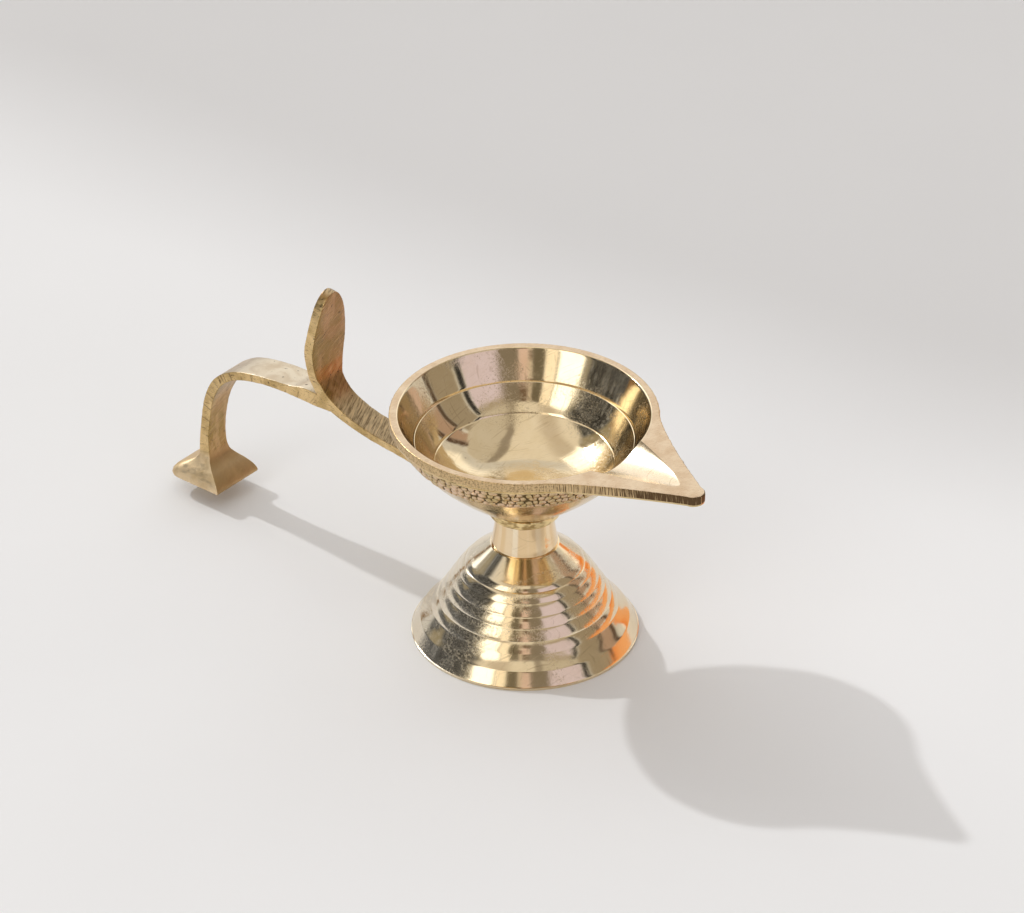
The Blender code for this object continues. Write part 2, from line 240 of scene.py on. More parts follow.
def trough_size(reach):
    """Depth of the wick trough below the rim, and its half width, at a distance along the spout."""
    run = np.clip((TROUGH_END - reach) / TROUGH_RUN, 0.0, 1.15)
    return TROUGH_DEPTH * run ** 1.2, TROUGH_HALF_WIDTH * run ** 0.7


def trough_drop(x, y):
    """How far the trough's surface is below the rim at a place, 0 outside it."""
    depth, half_width = trough_size(x)
    share = np.clip(1.0 - (y / np.maximum(half_width, 1e-6)) ** 2, 0.0, 1.0)
    return depth * share ** 0.85


def halve(func, low, high, steps=40):
    """Where a rising function of an array crosses zero, between two arrays of limits."""
    low, high = np.array(low, float), np.array(high, float)
    for _ in range(steps):
        middle = (low + high) / 2
        below = func(middle) < 0
        low = np.where(below, middle, low)
        high = np.where(below, high, middle)
    return (low + high) / 2


# The embossed band: where it starts and ends down the outside, the radius its pebbles are counted on, and
# their number of rows, size, rise and bed.
BAND_START, BAND_END = 0.0009, 0.0082
BAND_RADIUS = 0.0262
PEBBLE_ROWS = 5
PEBBLE_WIDTH, PEBBLE_HEIGHT = 0.00168, 0.00172
PEBBLE_RISE = 0.00046
PEBBLE_BED = 0.00025
FAR = 9.0


def pebbles(around, down):
    """Height, 0 to 1, of a band of hammered oval pebbles laid like bricks, with gaps between them."""
    nearest = np.full(around.shape, FAR)
    second = np.full(around.shape, FAR)
    circumference = math.tau * BAND_RADIUS
    per_row = int(circumference / PEBBLE_WIDTH)
    width = circumference / per_row
    for row in range(-1, PEBBLE_ROWS + 1):
        jitter = rng.uniform(-0.30, 0.30, per_row)
        lift = rng.uniform(-0.22, 0.22, per_row)
        size = rng.uniform(0.80, 1.25, per_row)
        centre_down = (row + 0.5) * PEBBLE_HEIGHT
        near_rows = np.abs(down - centre_down) < 1.6 * PEBBLE_HEIGHT
        base = np.floor(around / width - 0.5 * (row % 2)).astype(int)
        for step in (-1, 0, 1):
            cell = (base + step) % per_row
            centre = (base + step + 0.5 + 0.5 * (row % 2) + jitter[cell]) * width
            across = (around - centre) / (0.5 * width)
            along = (down - centre_down - lift[cell] * PEBBLE_HEIGHT) / (0.5 * PEBBLE_HEIGHT)
            distance = np.where(near_rows, np.hypot(across, along) / size[cell], FAR)
            closer = distance < nearest
            second = np.where(closer, nearest, np.minimum(second, distance))
            nearest = np.minimum(nearest, distance)
    dome = np.sqrt(np.clip(1.0 - (nearest / 1.18) ** 2, 0.0, 1.0))
    border = smoothstep(-0.05, 0.55, second - nearest)
    return dome * border


# Radius and depth of the thin grooves turned in the wall, half their width, and the stretch each side that
# has no other point.
GROOVES = [(0.0187, 0.00004), (0.0228, 0.00007)]
GROOVE_HALF_WIDTH = 0.00011
GROOVE_CLEAR = 0.00025
# The inside of the wall from the middle of the floor to the mouth, as radius and height.
INSIDE_WALL = [
    (0.0, 0.0362), (0.0050, 0.03625), (0.0100, 0.0368), (0.0140, 0.03815), (0.0165, 0.03965),
    (0.0187, 0.0415), (0.0207, 0.04375), (0.0228, 0.04685), (0.0246, 0.0500),
    (MOUTH_RADIUS - EDGE_ROUND * 0.55, RIM_HEIGHT - EDGE_ROUND * 0.8),
]
MOUTH_EDGE = [(MOUTH_RADIUS - 0.00003, RIM_HEIGHT - 0.00007), (MOUTH_RADIUS + 0.00012, RIM_HEIGHT)]


def groove(radius, height, along, depth):
    """A thin turned groove across the wall, as its lower lip, its bottom and its upper lip."""
    along = along / np.linalg.norm(along)
    into = np.array([along[1], -along[0]])
    middle = np.array([radius, height])
    half = along * GROOVE_HALF_WIDTH
    return [middle - half, middle + into * depth, middle + half]


def inside_section():
    """Radius and height up the inside of the bowl, with its thin grooves."""
    wall = smooth_line(INSIDE_WALL, 0.00035)
    section = [wall[0]]
    for before, point in zip(wall, wall[1:]):
        for radius, depth in GROOVES:
            if before[0] < radius <= point[0]:
                height = np.interp(radius, wall[:, 0], wall[:, 1])
                section.extend(groove(radius, height, point - before, depth))
        if min(abs(point[0] - radius) for radius, _ in GROOVES) > GROOVE_CLEAR:
            section.append(point)
    return np.vstack([section, MOUTH_EDGE])


# The outside from the rim's root to the crease over the collar, and the foot that the handle's eye hides.
BAND_FOOT = (0.0219, 0.0431)
OUTSIDE_UPPER = [(RIM_ROOT_RADIUS, RIM_HEIGHT - RIM_EDGE), (0.0264, 0.0491), (0.0244, 0.0461), BAND_FOOT]
OUTSIDE_LOWER = [BAND_FOOT, (0.0199, 0.0409), (0.0170, 0.0382), (0.0140, 0.0357), (0.0116, 0.0338),
                 (0.0111, 0.03345)]
HIDDEN_FOOT = [(0.0108, 0.0332), (0.0098, 0.0330), (0.0090, 0.0327), (0.0084, 0.0323), (0.0081, 0.0318),
               (0.0080, 0.0315), (0.0079, BOWL_FOOT), (STUD_HOLE_RADIUS, BOWL_FOOT),
               (STUD_HOLE_RADIUS, STUD_HOLE_TOP), (0.0, STUD_HOLE_TOP)]
# The lip under the rim's edge, as steps out and down.
LIP_STEPS = [(-0.00012, 0.00020), (-0.00008, 0.00004), (0.00010, -0.00008), (0.00012, -0.00022),
             (0.0, -0.00034), (-0.0002, -0.00036)]
LIP_INSET = 0.00006
# Material slot of each kind of row.
ROW_SLOTS = {"inside": 0, "land": 1, "edge": 2, "under": 3, "outside": 3, "pebbles": 4, "trough": 5}


def outside_section():
    """Radius and height down the outside, with the unit vector out of the surface and the way run so far."""
    upper = smooth_line(OUTSIDE_UPPER, 0.00014)
    lower = smooth_line(OUTSIDE_LOWER, 0.0004)
    section = np.vstack([upper, lower[1:]])
    down = np.concatenate([[0.0], np.cumsum(np.hypot(*np.diff(section, axis=0).T))])
    tangent = np.gradient(section, axis=0)
    normal = np.stack([-tangent[:, 1], tangent[:, 0]], axis=1)
    normal /= np.linalg.norm(normal, axis=1)[:, None]
    return section, normal, down


def store_values(mesh, name, values):
    """Keep one number for every point of a mesh, for its material to read."""
    mesh.attributes.new(name, "FLOAT", "POINT").data.foreach_set("value", values.astype(np.float32))


def set_slots(mesh, point_rows, row_slots):
    """Give each face the material slot of the last row that it touches."""
    corner = np.zeros(len(mesh.loops), np.int32)
    mesh.loops.foreach_get("vertex_index", corner)
    starts = np.zeros(len(mesh.polygons), np.int32)
    mesh.polygons.foreach_get("loop_start", starts)
    face_row = np.maximum.reduceat(point_rows[corner], starts)
    mesh.polygons.foreach_set("material_index", row_slots[face_row].astype(np.int32))


# Inside this radius the trough moves no point of the floor.
FLOOR_RADIUS = 0.017
RIM_COLUMNS = 1100


class BowlRows:
    """Rows of points round the lamp's axis, with one column for every step along the rim's outline."""

    def __init__(self):
        angles, radii = rim_outline()
        run = np.concatenate([[0.0], np.cumsum(np.hypot(np.diff(radii), radii[1:] * np.diff(angles)))])
        half_angles = np.interp(np.linspace(0, run[-1], RIM_COLUMNS // 2 + 1), run, angles)
        half_angles[0], half_angles[-1] = 0.0, math.pi
        self.angle = np.concatenate([half_angles, -half_angles[-2:0:-1]])
        self.off_spout = np.abs(self.angle)
        self.outline = np.interp(self.off_spout, angles, radii)
        self.edge_run = np.interp(self.off_spout, angles, run) * np.where(self.angle < 0, -1.0, 1.0)
        self.cosine, self.sine = np.cos(self.angle), np.sin(self.angle)
        self.count = len(self.angle)
        self.rows = []
        self.kinds = []
        self.recess = []

    def add(self, radius, height, kind, recess=0.0):
        """One more row, and how deep it lies in the gaps between pebbles, 0 to 1."""
        radius, height, recess = (np.broadcast_to(value, self.count) for value in (radius, height, recess))
        self.rows.append(np.stack([AXIS_X + radius * self.cosine, radius * self.sine, height], axis=1))
        self.kinds.append(kind)
        self.recess.append(recess)

    def trough_drop(self, radius):
        return trough_drop(radius * self.cosine, radius * self.sine)

    def keel_height(self, radius):
        """Height of the spout's keel in every column, out of reach where there is none."""
        x, y = radius * self.cosine, radius * self.sine
        depth, half_width = trough_size(x)
        share = np.clip(1.0 - (y / (half_width + KEEL_SIDE)) ** 2, 0.0, 1.0)
        keel = RIM_HEIGHT - (depth + KEEL_UNDER) * np.sqrt(share)
        return np.where((self.cosine > 0.5) & (x > KEEL_START) & (x < KEEL_END), keel, FAR)


def add_inside(bowl):
    """The turned inside, then the wick trough from the wall to the rim. Returns the radius it ends at."""
    inside = inside_section()
    mouth = inside[-1, 0]

    def inside_height(radius):
        return np.interp(radius, inside[:, 0], inside[:, 1])

    def wall_above_trough(radius):
        return inside_height(radius) - (RIM_HEIGHT - bowl.trough_drop(radius))

    def past_trough(radius):
        return radius * np.abs(bowl.sine) - trough_size(radius * bowl.cosine)[1]

    at_mouth = np.full(bowl.count, mouth)
    in_trough = (bowl.off_spout < 1.0) & (past_trough(at_mouth) < 0)
    meet = halve(wall_above_trough, np.full(bowl.count, KEEL_START), at_mouth)
    meet = np.where(in_trough, meet, mouth)
    leave = halve(past_trough, at_mouth, TROUGH_END / np.maximum(bowl.cosine, 0.5))
    leave = np.where(in_trough, leave, mouth)
    leave = np.maximum(leave, meet + 0.00002)
    for radius, height in inside:
        pulled_in = FLOOR_RADIUS + (meet - FLOOR_RADIUS) * (radius - FLOOR_RADIUS) / (mouth - FLOOR_RADIUS)
        squeezed = np.where(radius < FLOOR_RADIUS, radius, pulled_in)
        bowl.add(squeezed, np.where(in_trough, inside_height(squeezed), height), "inside")
    for step in np.linspace(0, 1, 27)[1:]:
        radius = meet + (leave - meet) * (1.0 - (1.0 - step) ** 1.35)
        drop = np.where(in_trough, bowl.trough_drop(radius) * (step < 1), 0.0)
        bowl.add(radius, RIM_HEIGHT - drop, "trough")
    return leave


def add_rim(bowl, leave):
    """The rim: flat land, rounded outer edge with file notches, the lip under it, and the underside."""
    notch = 0.00006 * wobble(bowl.angle, 3, range(180, 320, 9))
    notch = notch + 0.00005 * wobble(bowl.angle, 4, range(60, 170, 7))
    notch = np.where(bowl.off_spout < 1.1, notch * 1.4, notch * 0.6)
    outer = bowl.outline + notch * 0.5
    under = RIM_HEIGHT - RIM_EDGE
    for share in np.linspace(0, 1, 9)[1:]:
        bowl.add(leave + (outer - EDGE_ROUND - leave) * share, RIM_HEIGHT, "land")
    for turn in np.linspace(0, math.pi / 2, 5)[1:]:
        inset, fall = EDGE_ROUND * (1 - math.sin(turn)), EDGE_ROUND * (1 - math.cos(turn))
        bowl.add(outer - inset, RIM_HEIGHT - fall, "edge")
    for share in np.linspace(0, 1, 9)[1:]:
        height = RIM_HEIGHT - EDGE_ROUND - (RIM_EDGE - 2 * EDGE_ROUND) * share
        bowl.add(bowl.outline + notch * (1.0 - 0.6 * share), height, "edge")
    ridge = smoothstep(0.45, 0.70, bowl.off_spout) * (1.0 - smoothstep(1.2, 1.5, bowl.off_spout))
    for step_out, step_down in LIP_STEPS:
        radius = bowl.outline - LIP_INSET + (step_out + LIP_INSET) * ridge
        bowl.add(radius, under + step_down * (0.4 + 0.6 * ridge), "under")
    for share in np.linspace(0, 1, 17)[1:]:
        radius = bowl.outline - EDGE_ROUND + (RIM_ROOT_RADIUS - bowl.outline + EDGE_ROUND) * share
        bowl.add(radius, np.minimum(under, bowl.keel_height(radius)), "under")


def add_outside(bowl):
    """The outside with its band of pebbles, then the hidden foot and its blind hole."""
    outside, normal, down = outside_section()
    around, below = np.meshgrid((bowl.angle % math.tau) * BAND_RADIUS, down - BAND_START)
    bumps = pebbles(around, below)
    band = BAND_END - BAND_START
    inside_band = smoothstep(-0.0001, 0.0002, below) * (1 - smoothstep(band - 0.0012, band, below))
    for i in range(1, len(outside)):
        rise = (bumps[i] * PEBBLE_RISE - PEBBLE_BED) * inside_band[i]
        radius = outside[i, 0] + normal[i, 0] * rise
        height = outside[i, 1] + normal[i, 1] * rise
        if outside[i, 1] > BAND_FOOT[1]:
            height = np.minimum(height, bowl.keel_height(radius))
        kind = "pebbles" if down[i] < BAND_END + 0.0004 else "outside"
        bowl.add(radius, height, kind, (1.0 - bumps[i]) * inside_band[i])
    for radius, height in HIDDEN_FOOT:
        bowl.add(radius, height, "outside")


def build_bowl(materials):
    """The bowl, with its grid closed to a point at the middle of the floor and of the blind hole."""
    bowl = BowlRows()
    leave = add_inside(bowl)
    add_rim(bowl, leave)
    add_outside(bowl)
    mesh, used = turned_grid("bowl_body", np.array(bowl.rows), start_pole=True, end_pole=True)
    store_values(mesh, "recess", np.array(bowl.recess).ravel()[used])
    store_values(mesh, "edge_run", np.tile(bowl.edge_run, (len(bowl.rows), 1)).ravel()[used])
    set_slots(mesh, used // bowl.count, np.array([ROW_SLOTS[kind] for kind in bowl.kinds]))
    return add_piece("bowl_body", mesh, materials, "bowl")


# The neck and the base.

def turn_profile(name, profile, materials, node, columns=480, out_of_round=0.0, seed=1):
    """A ring turned from a closed section, and maybe very slightly out of round."""
    angle = np.linspace(0, math.tau, columns, endpoint=False)
    shape = 1.0 + out_of_round * wobble(angle, seed, (2, 3, 5))
    radius = profile[:, 0][:, None] * shape[None, :]
    grid = np.stack([
        AXIS_X + radius * np.cos(angle)[None, :], radius * np.sin(angle)[None, :],
        np.broadcast_to(profile[:, 1][:, None], radius.shape),
    ], axis=-1)
    mesh, _ = turned_grid(name, grid, close_rows=True)
    return add_piece(name, mesh, materials, node)


def build_neck(materials):
    """The plain spacer, waisted a little towards the top."""
    foot, top = BASE_HIGH.z, SLEEVE_TOP
    outside = smooth_line([
        (0.00694, foot + 0.0001), (0.00692, foot + 0.0010), (0.00668, foot + 0.0024),
        (0.00640, foot + 0.0042), (0.00626, foot + 0.0057), (0.00618, top - 0.0002), (0.00612, top),
    ], 0.0002)
    start = [(STUD_HOLE_RADIUS, foot), (0.00688, foot)]
    profile = np.vstack([start, outside, [(STUD_HOLE_RADIUS, top)]])
    return turn_profile("neck_turned", profile, materials, "neck_sleeve")


# The base's section as radius and height: shoulder, the edges between the beads, waist, bevelled band with
# its thin lip, and the hollow inside.
BEAD_EDGES = [(0.0112, 0.01835), (0.0126, 0.0168), (0.0140, 0.0151), (0.0155, 0.0128), (0.01675, 0.0107),
              (0.01822, 0.0083), (0.0196, 0.0062)]
BASE_SHOULDER = [(0.0073, BASE_HIGH.z), (0.0086, 0.0205), (0.0098, 0.0195), BEAD_EDGES[0]]
BASE_WAIST = [BEAD_EDGES[-1], (0.0208, 0.00475), (0.02205, 0.0035)]
BASE_BAND = [(0.02212, 0.00342), (0.0222, 0.0033), (0.0238, 0.00075), (0.02386, 0.00062), (0.0240, 0.00055),
             (0.0240, 0.0001), (0.02395, 0.0)]
BASE_INSIDE = [(0.0223, 0.0), (0.0222, 0.0001), (0.02035, 0.0035), (0.0163, 0.0083), (0.0137, 0.0128),
               (0.0105, 0.0168), (0.0085, BASE_CEILING), (STUD_HOLE_RADIUS, BASE_CEILING),
               (STUD_HOLE_RADIUS, BASE_HIGH.z)]
BEAD_SWELL = 0.00012
BEAD_GROOVE = 0.00003


def build_base(materials):
    """The hollow foot, with turned beads and a fine groove at each edge between them."""
    beads = []
    for a, b in zip(BEAD_EDGES, BEAD_EDGES[1:]):
        a, b = np.array(a), np.array(b)
        out = np.array([a[1] - b[1], b[0] - a[0]])
        out = out / np.linalg.norm(out)
        for share in np.linspace(0, 1, 13)[:-1]:
            swell = BEAD_SWELL * math.sin(math.pi * share) if share > 0 else -BEAD_GROOVE
            beads.append(a + (b - a) * share + out * swell)
    profile = np.vstack([
        smooth_line(BASE_SHOULDER, 0.0003), beads[1:], smooth_line(BASE_WAIST, 0.00025),
        densify(BASE_BAND, 0.0003), densify(BASE_INSIDE, 0.0006),
    ])
    return turn_profile("base_turned", profile, materials, "base", columns=720, out_of_round=0.0006, seed=5)


# The handle, one casting. Each point of a bar: distance from the lamp's axis, height, thickness, half width.

STRAP_AND_LEAF = [
    (0.0055, 0.03005, 0.00185, 0.0032), (0.0080, 0.03007, 0.0018, 0.0032),
    (0.0175, 0.0308, 0.0018, 0.0033), (0.0290, 0.0323, 0.0018, 0.0033),
    (0.0395, 0.0337, 0.0018, 0.0034), (0.0460, 0.0350, 0.0020, 0.0034),
    (0.0508, 0.0371, 0.0025, 0.0034), (0.0538, 0.0404, 0.0026, 0.0036),
    (0.0546, 0.0439, 0.0023, 0.0046),
]
ARCH_AND_LEG = [
    (0.0505, 0.0362, 0.0018, 0.0033), (0.0540, 0.0368, 0.0031, 0.0034),
    (0.0577, 0.0371, 0.0032, 0.0036), (0.0617, 0.0367, 0.0022, 0.0038),
    (0.0674, 0.0364, 0.0018, 0.0039), (0.0731, 0.0356, 0.0019, 0.0040),
    (0.0780, 0.0340, 0.0020, 0.0040), (0.0821, 0.0310, 0.0021, 0.0038),
    (0.0852, 0.0264, 0.0023, 0.0033), (0.0869, 0.0211, 0.0024, 0.0029),
    (0.0876, 0.0159, 0.0024, 0.0028), (0.0878, 0.0117, 0.0027, 0.0029),
]
# The same with a last number, the corners' radius. Heights here are above the foot's underside.
SQUARE_FOOT = [
    (0.0876, 0.0060, 0.0030, 0.0032, 0.0002), (0.0877, 0.0050, 0.0042, 0.0037, 0.0004),
    (0.0879, 0.0040, 0.0068, 0.0045, 0.0010), (0.0881, 0.0030, 0.0100, 0.0054, 0.0018),
    (0.0883, 0.0018, 0.0130, 0.0062, 0.0026), (0.0884, 0.0008, 0.0146, 0.0066, 0.0031),
    (0.08845, 0.0003, 0.0150, 0.0067, 0.0033), (0.08845, 0.0, 0.0149, 0.00665, 0.0033),
]
BAR_ROUND = 0.00016


def bar_section(half_thickness, half_width, corner):
    """Points round a flat bar's section, as rise and spread, with rounded corners."""
    limit = 0.46 * min(half_thickness, half_width)
    arcs = []
    for quarter in range(4):
        rise_side = 1 if quarter in (0, 3) else -1
        spread_side = 1 if quarter in (0, 1) else -1
        radius = min(BAR_ROUND, limit)
        if rise_side > 0:
            radius = min(corner, half_width * 0.7, half_thickness * 0.7)
        angle = np.radians(90.0 * quarter + np.linspace(0, 90, 5))
        arcs.append(np.stack([
            rise_side * (half_thickness - radius) + radius * np.cos(angle),
            spread_side * (half_width - radius) + radius * np.sin(angle),
        ], axis=1))
    points = []
    for arc, following, count in zip(arcs, arcs[1:] + arcs[:1], (4, 10, 4, 10)):
        points.append(arc[:-1])
        points.append(np.linspace(arc[-1], following[0], count, endpoint=False))
    return np.vstack(points)


def rough_line(length, seed, pitch, jump):
    """An uneven height along a line, as from a coarse file: random heights joined by straight runs."""
    local = np.random.default_rng(seed)
    knots = local.normal(0.0, jump, int(length / pitch) + 3)
    return lambda run: np.interp(run / pitch, np.arange(len(knots)), knots)


def bar_mesh(knots, on_foot, seed):
    """A cast bar along a route in the handle's own upright plane, with filed, slightly uneven sides.

    Near the square foot, if the bar ends in one, its sections lie flat and its sides are less uneven."""
    rows = smooth_line(np.array(knots), 0.00032)
    run = np.concatenate([[0.0], np.cumsum(np.hypot(*np.diff(rows[:, :2], axis=0).T))])
    along = np.gradient(rows[:, :2], axis=0)
    flat_steps = np.zeros(len(rows))
    if on_foot:
        flat_steps = 1.0 - smoothstep(0.0050, 0.0085, rows[:, 1] - FOOT_CLEARANCE)
    along /= np.linalg.norm(along, axis=1)[:, None] + 1e-12
    along = along * (1 - flat_steps[:, None]) + np.array([0.0, -1.0]) * flat_steps[:, None]
    along /= np.linalg.norm(along, axis=1)[:, None]
    # The last two numbers are the pitch and the height of the marks and of the longer waves.
    side_marks = [rough_line(run[-1], seed + k, 0.0007, 0.00003) for k in (0, 1)]
    side_waves = [rough_line(run[-1], seed + k, 0.0042, 0.00007) for k in (2, 3)]
    face_waves = [rough_line(run[-1], seed + k, 0.0050, 0.00005) for k in (4, 5)]
    rings = []
    for row, tangent, at, flat in zip(rows, along, run, flat_steps):
        section = bar_section(row[2] / 2, row[3], row[4])
        rise, spread = section[:, 0].copy(), section[:, 1].copy()
        quiet = 1.0 - 0.8 * flat
        near = spread < 0
        sides = [marks(at) + waves(at) for marks, waves in zip(side_marks, side_waves)]
        uneven = np.where(near, -1, 1) * np.where(near, sides[0], sides[1]) * quiet
        spread += uneven * (np.abs(spread) / row[3]) ** 4
        upper = rise > 0
        uneven = np.where(upper, 1, -1) * np.where(upper, face_waves[0](at), face_waves[1](at)) * quiet
        rise += uneven * (np.abs(rise) / (row[2] / 2)) ** 2
        across = np.array([-tangent[1], tangent[0]])
        reach = row[0] + across[0] * rise
        height = row[1] + across[1] * rise
        x = AXIS_X - reach * math.cos(HANDLE_TURN) - spread * math.sin(HANDLE_TURN)
        y = spread * math.cos(HANDLE_TURN) - reach * math.sin(HANDLE_TURN)
        rings.append(np.stack([x, y, height], axis=1))
    grid = np.array(rings)
    count = grid.shape[1]
    caps = [np.broadcast_to(ring.mean(axis=0), (1, count, 3)) for ring in (grid[0], grid[-1])]
    grid = np.concatenate([caps[0], grid, caps[1]])
    mesh, _ = turned_grid("bar", grid, start_pole=True, end_pole=True)
    return mesh


def leaf_knots():
    """The strap's points, and the leaf's as far as its round tip."""
    knots = [(*knot, BAR_ROUND) for knot in STRAP_AND_LEAF]
    for step in (0.0, 0.3, 0.55, 0.75, 0.88, 0.96, 1.0):
        reach = LEAF_REACH - LEAF_LEAN * step
        height = LEAF_WIDEST + (LEAF_TIP - LEAF_WIDEST) * step
        half_width = LEAF_HALF_WIDTH * math.sqrt(1.0 - 0.99 * step * step)
        knots.append((reach, height, LEAF_THICKNESS - LEAF_TAPER * step, half_width, BAR_ROUND))
    return knots


def fix_winding(mesh):
    """Turn the faces outwards on a closed mesh."""
    bm = bmesh.new()
    bm.from_mesh(mesh)
    bmesh.ops.recalc_face_normals(bm, faces=bm.faces)
    bm.to_mesh(mesh)
    bm.free()


def joined(name, meshes):
    """One mesh from several closed ones that run into each other."""
    objects = []
    for i, mesh in enumerate(meshes):
        fix_winding(mesh)
        objects.append(add_object(f"{name}_{i}", mesh))
    first = objects[0]
    for tool in objects[1:]:
        modifier = first.modifiers.new(tool.name, "BOOLEAN")
        modifier.object = tool
        modifier.operation = "UNION"
        modifier.solver = "EXACT"
    depsgraph = bpy.context.evaluated_depsgraph_get()
    result = bpy.data.meshes.new_from_object(first.evaluated_get(depsgraph))
    for item in objects:
        bpy.data.objects.remove(item, do_unlink=True)
    result.name = name
    result.shade_smooth()
    return result


def eye_mesh():
    """The eye clamped under the bowl: a flat ring with rounded edges, uneven only on its outside."""
    flat, edge = EYE_RADIUS - EYE_ROUND, EYE_ROUND
    turns = np.radians((22, 45, 68, 90))
    profile = [(STUD_HOLE_RADIUS, EYE_BOTTOM), (flat, EYE_BOTTOM)]
    profile += [(flat + edge * math.sin(a), EYE_BOTTOM + edge * (1 - math.cos(a))) for a in turns]
    profile += [(EYE_RADIUS, EYE_TOP - edge)]
    profile += [(flat + edge * math.cos(a), EYE_TOP - edge + edge * math.sin(a)) for a in turns]
    profile += [(STUD_HOLE_RADIUS, EYE_TOP)]
    profile = densify(profile, 0.0006)
    angle = np.linspace(0, math.tau, 160, endpoint=False)
    outer = profile[:, 0][:, None] > 0.004
    radius = profile[:, 0][:, None] * (1.0 + 0.012 * wobble(angle, 21, (2, 3, 5, 9)) * outer)
    grid = np.stack([AXIS_X + radius * np.cos(angle), radius * np.sin(angle),
                     np.broadcast_to(profile[:, 1][:, None], radius.shape)], axis=-1)
    eye, _ = turned_grid("eye", grid, close_rows=True)
    return eye


def build_handle(materials):
    strap = bar_mesh(leaf_knots(), False, 31)
    foot = [(reach, height + FOOT_CLEARANCE, *size) for reach, height, *size in SQUARE_FOOT]
    arch = bar_mesh([(*knot, BAR_ROUND) for knot in ARCH_AND_LEG] + foot, True, 47)
    mesh = joined("handle_cast", [strap, arch, eye_mesh()])
    return add_piece("handle_cast", mesh, materials, "handle", crease=40.0)


# Materials.

class Nodes:
    """Short-hand for building one node tree."""

    def __init__(self, tree):
        self.tree = tree

    def add(self, kind, inputs=None, **settings):
        node = self.tree.nodes.new(kind)
        for key, value in settings.items():
            setattr(node, key, value)
        for key, value in (inputs or {}).items():
            if isinstance(value, bpy.types.NodeSocket):
                self.tree.links.new(value, node.inputs[key])
            else:
                node.inputs[key].default_value = value
        return node

    def math(self, operation, a, b=0.0, clamp=False):
        return self.add("ShaderNodeMath", {0: a, 1: b}, operation=operation, use_clamp=clamp).outputs[0]

    def times(self, value, *others):
        for other in others:
            value = self.math("MULTIPLY", value, other)
        return value

    def plus(self, a, b, clamp=False):
        return self.math("ADD", a, b, clamp)

    def minus(self, a, b):
        return self.math("SUBTRACT", a, b)

    def vector(self, operation, a, b=(0.0, 0.0, 0.0)):
        node = self.add("ShaderNodeVectorMath", {0: a, 1: b}, operation=operation)
        return node.outputs["Value"] if operation in ("LENGTH", "DOT_PRODUCT") else node.outputs["Vector"]

    def noise(self, coords, scale, detail=3.0, roughness=0.55, distortion=0.0):
        settings = {"Vector": coords, "Scale": scale, "Detail": detail, "Roughness": roughness}
        return self.add("ShaderNodeTexNoise", {**settings, "Distortion": distortion}).outputs["Fac"]

    def range(self, value, low, high, start=0.0, end=1.0):
        """A smooth step from start to end, as the value goes from low to high."""
        return self.add("ShaderNodeMapRange", {
            "Value": value, "From Min": low, "From Max": high, "To Min": start, "To Max": end,
        }, interpolation_type="SMOOTHSTEP").outputs["Result"]

    def mix(self, share, a, b):
        """Colour a, turning to b as the share goes from 0 to 1."""
        a, b = ((*colour, 1.0) if isinstance(colour, tuple) else colour for colour in (a, b))
        return self.add("ShaderNodeMix", {0: share, 6: a, 7: b}, data_type="RGBA").outputs[2]

    def bump(self, height, distance, strength=1.0, normal=None):
        node = self.add("ShaderNodeBump", {"Height": height, "Distance": distance, "Strength": strength})
        if normal is not None:
            self.tree.links.new(normal, node.inputs["Normal"])
        return node.outputs["Normal"]

    def place(self):
        return self.add("ShaderNodeTexCoord").outputs["Object"]

    def parts(self, vector):
        """The X, Y and Z of a vector."""
        return self.add("ShaderNodeSeparateXYZ", {0: vector}).outputs

    def combined(self, x=0.0, y=0.0, z=0.0):
        return self.add("ShaderNodeCombineXYZ", {0: x, 1: y, 2: z}).outputs[0]

    def stored(self, name):
        """A number kept with the mesh's points."""
        node = self.add("ShaderNodeAttribute", attribute_name=name, attribute_type="GEOMETRY")
        return node.outputs["Fac"]

    def turn(self, place):
        """Angle round the lamp's axis, in radians from +X."""
        spot = self.parts(self.vector("SUBTRACT", place, (AXIS_X, 0.0, 0.0)))
        return self.math("ARCTAN2", spot["Y"], spot["X"])

    def stretched(self, coords, scale, turn=(0.0, 0.0, 0.0)):
        """Coordinates turned first and then scaled along the new axes."""
        turned = self.add("ShaderNodeMapping", {"Vector": coords, "Rotation": turn}).outputs["Vector"]
        return self.vector("MULTIPLY", turned, scale)

    def lathe(self, around, along):
        """Coordinates that change slowly round the axis and quickly along the turned profile."""
        local = self.vector("SUBTRACT", self.place(), (AXIS_X, 0.0, 0.0))
        flat = self.vector("MULTIPLY", local, (1.0, 1.0, 0.0))
        direction = self.vector("MULTIPLY", self.vector("NORMALIZE", flat), (around, around, 0.0))
        down = self.times(self.plus(self.vector("LENGTH", flat), self.parts(local)["Z"]), along)
        return self.vector("ADD", direction, self.combined(z=down))


def new_material(name):
    """A new material, its short-hand nodes and its shader."""
    material = bpy.data.materials.new(name)
    material.use_nodes = True
    return material, Nodes(material.node_tree), material.node_tree.nodes["Principled BSDF"]


def metal(name):
    material, n, shader = new_material(name)
    shader.inputs["Metallic"].default_value = 1.0
    return material, n, shader


def connect(n, shader, colour, roughness, normal):
    for key, value in (("Base Color", colour), ("Roughness", roughness), ("Normal", normal)):
        n.tree.links.new(value, shader.inputs[key])


def scratches(n, coords, turn, fine):
    """Thin random lines in one direction, 0 to 1."""
    lines = n.noise(n.stretched(coords, (fine, fine * 0.03, fine * 0.03), turn), 1.0, 2.0, 0.6)
    return n.range(lines, 0.62, 0.72)


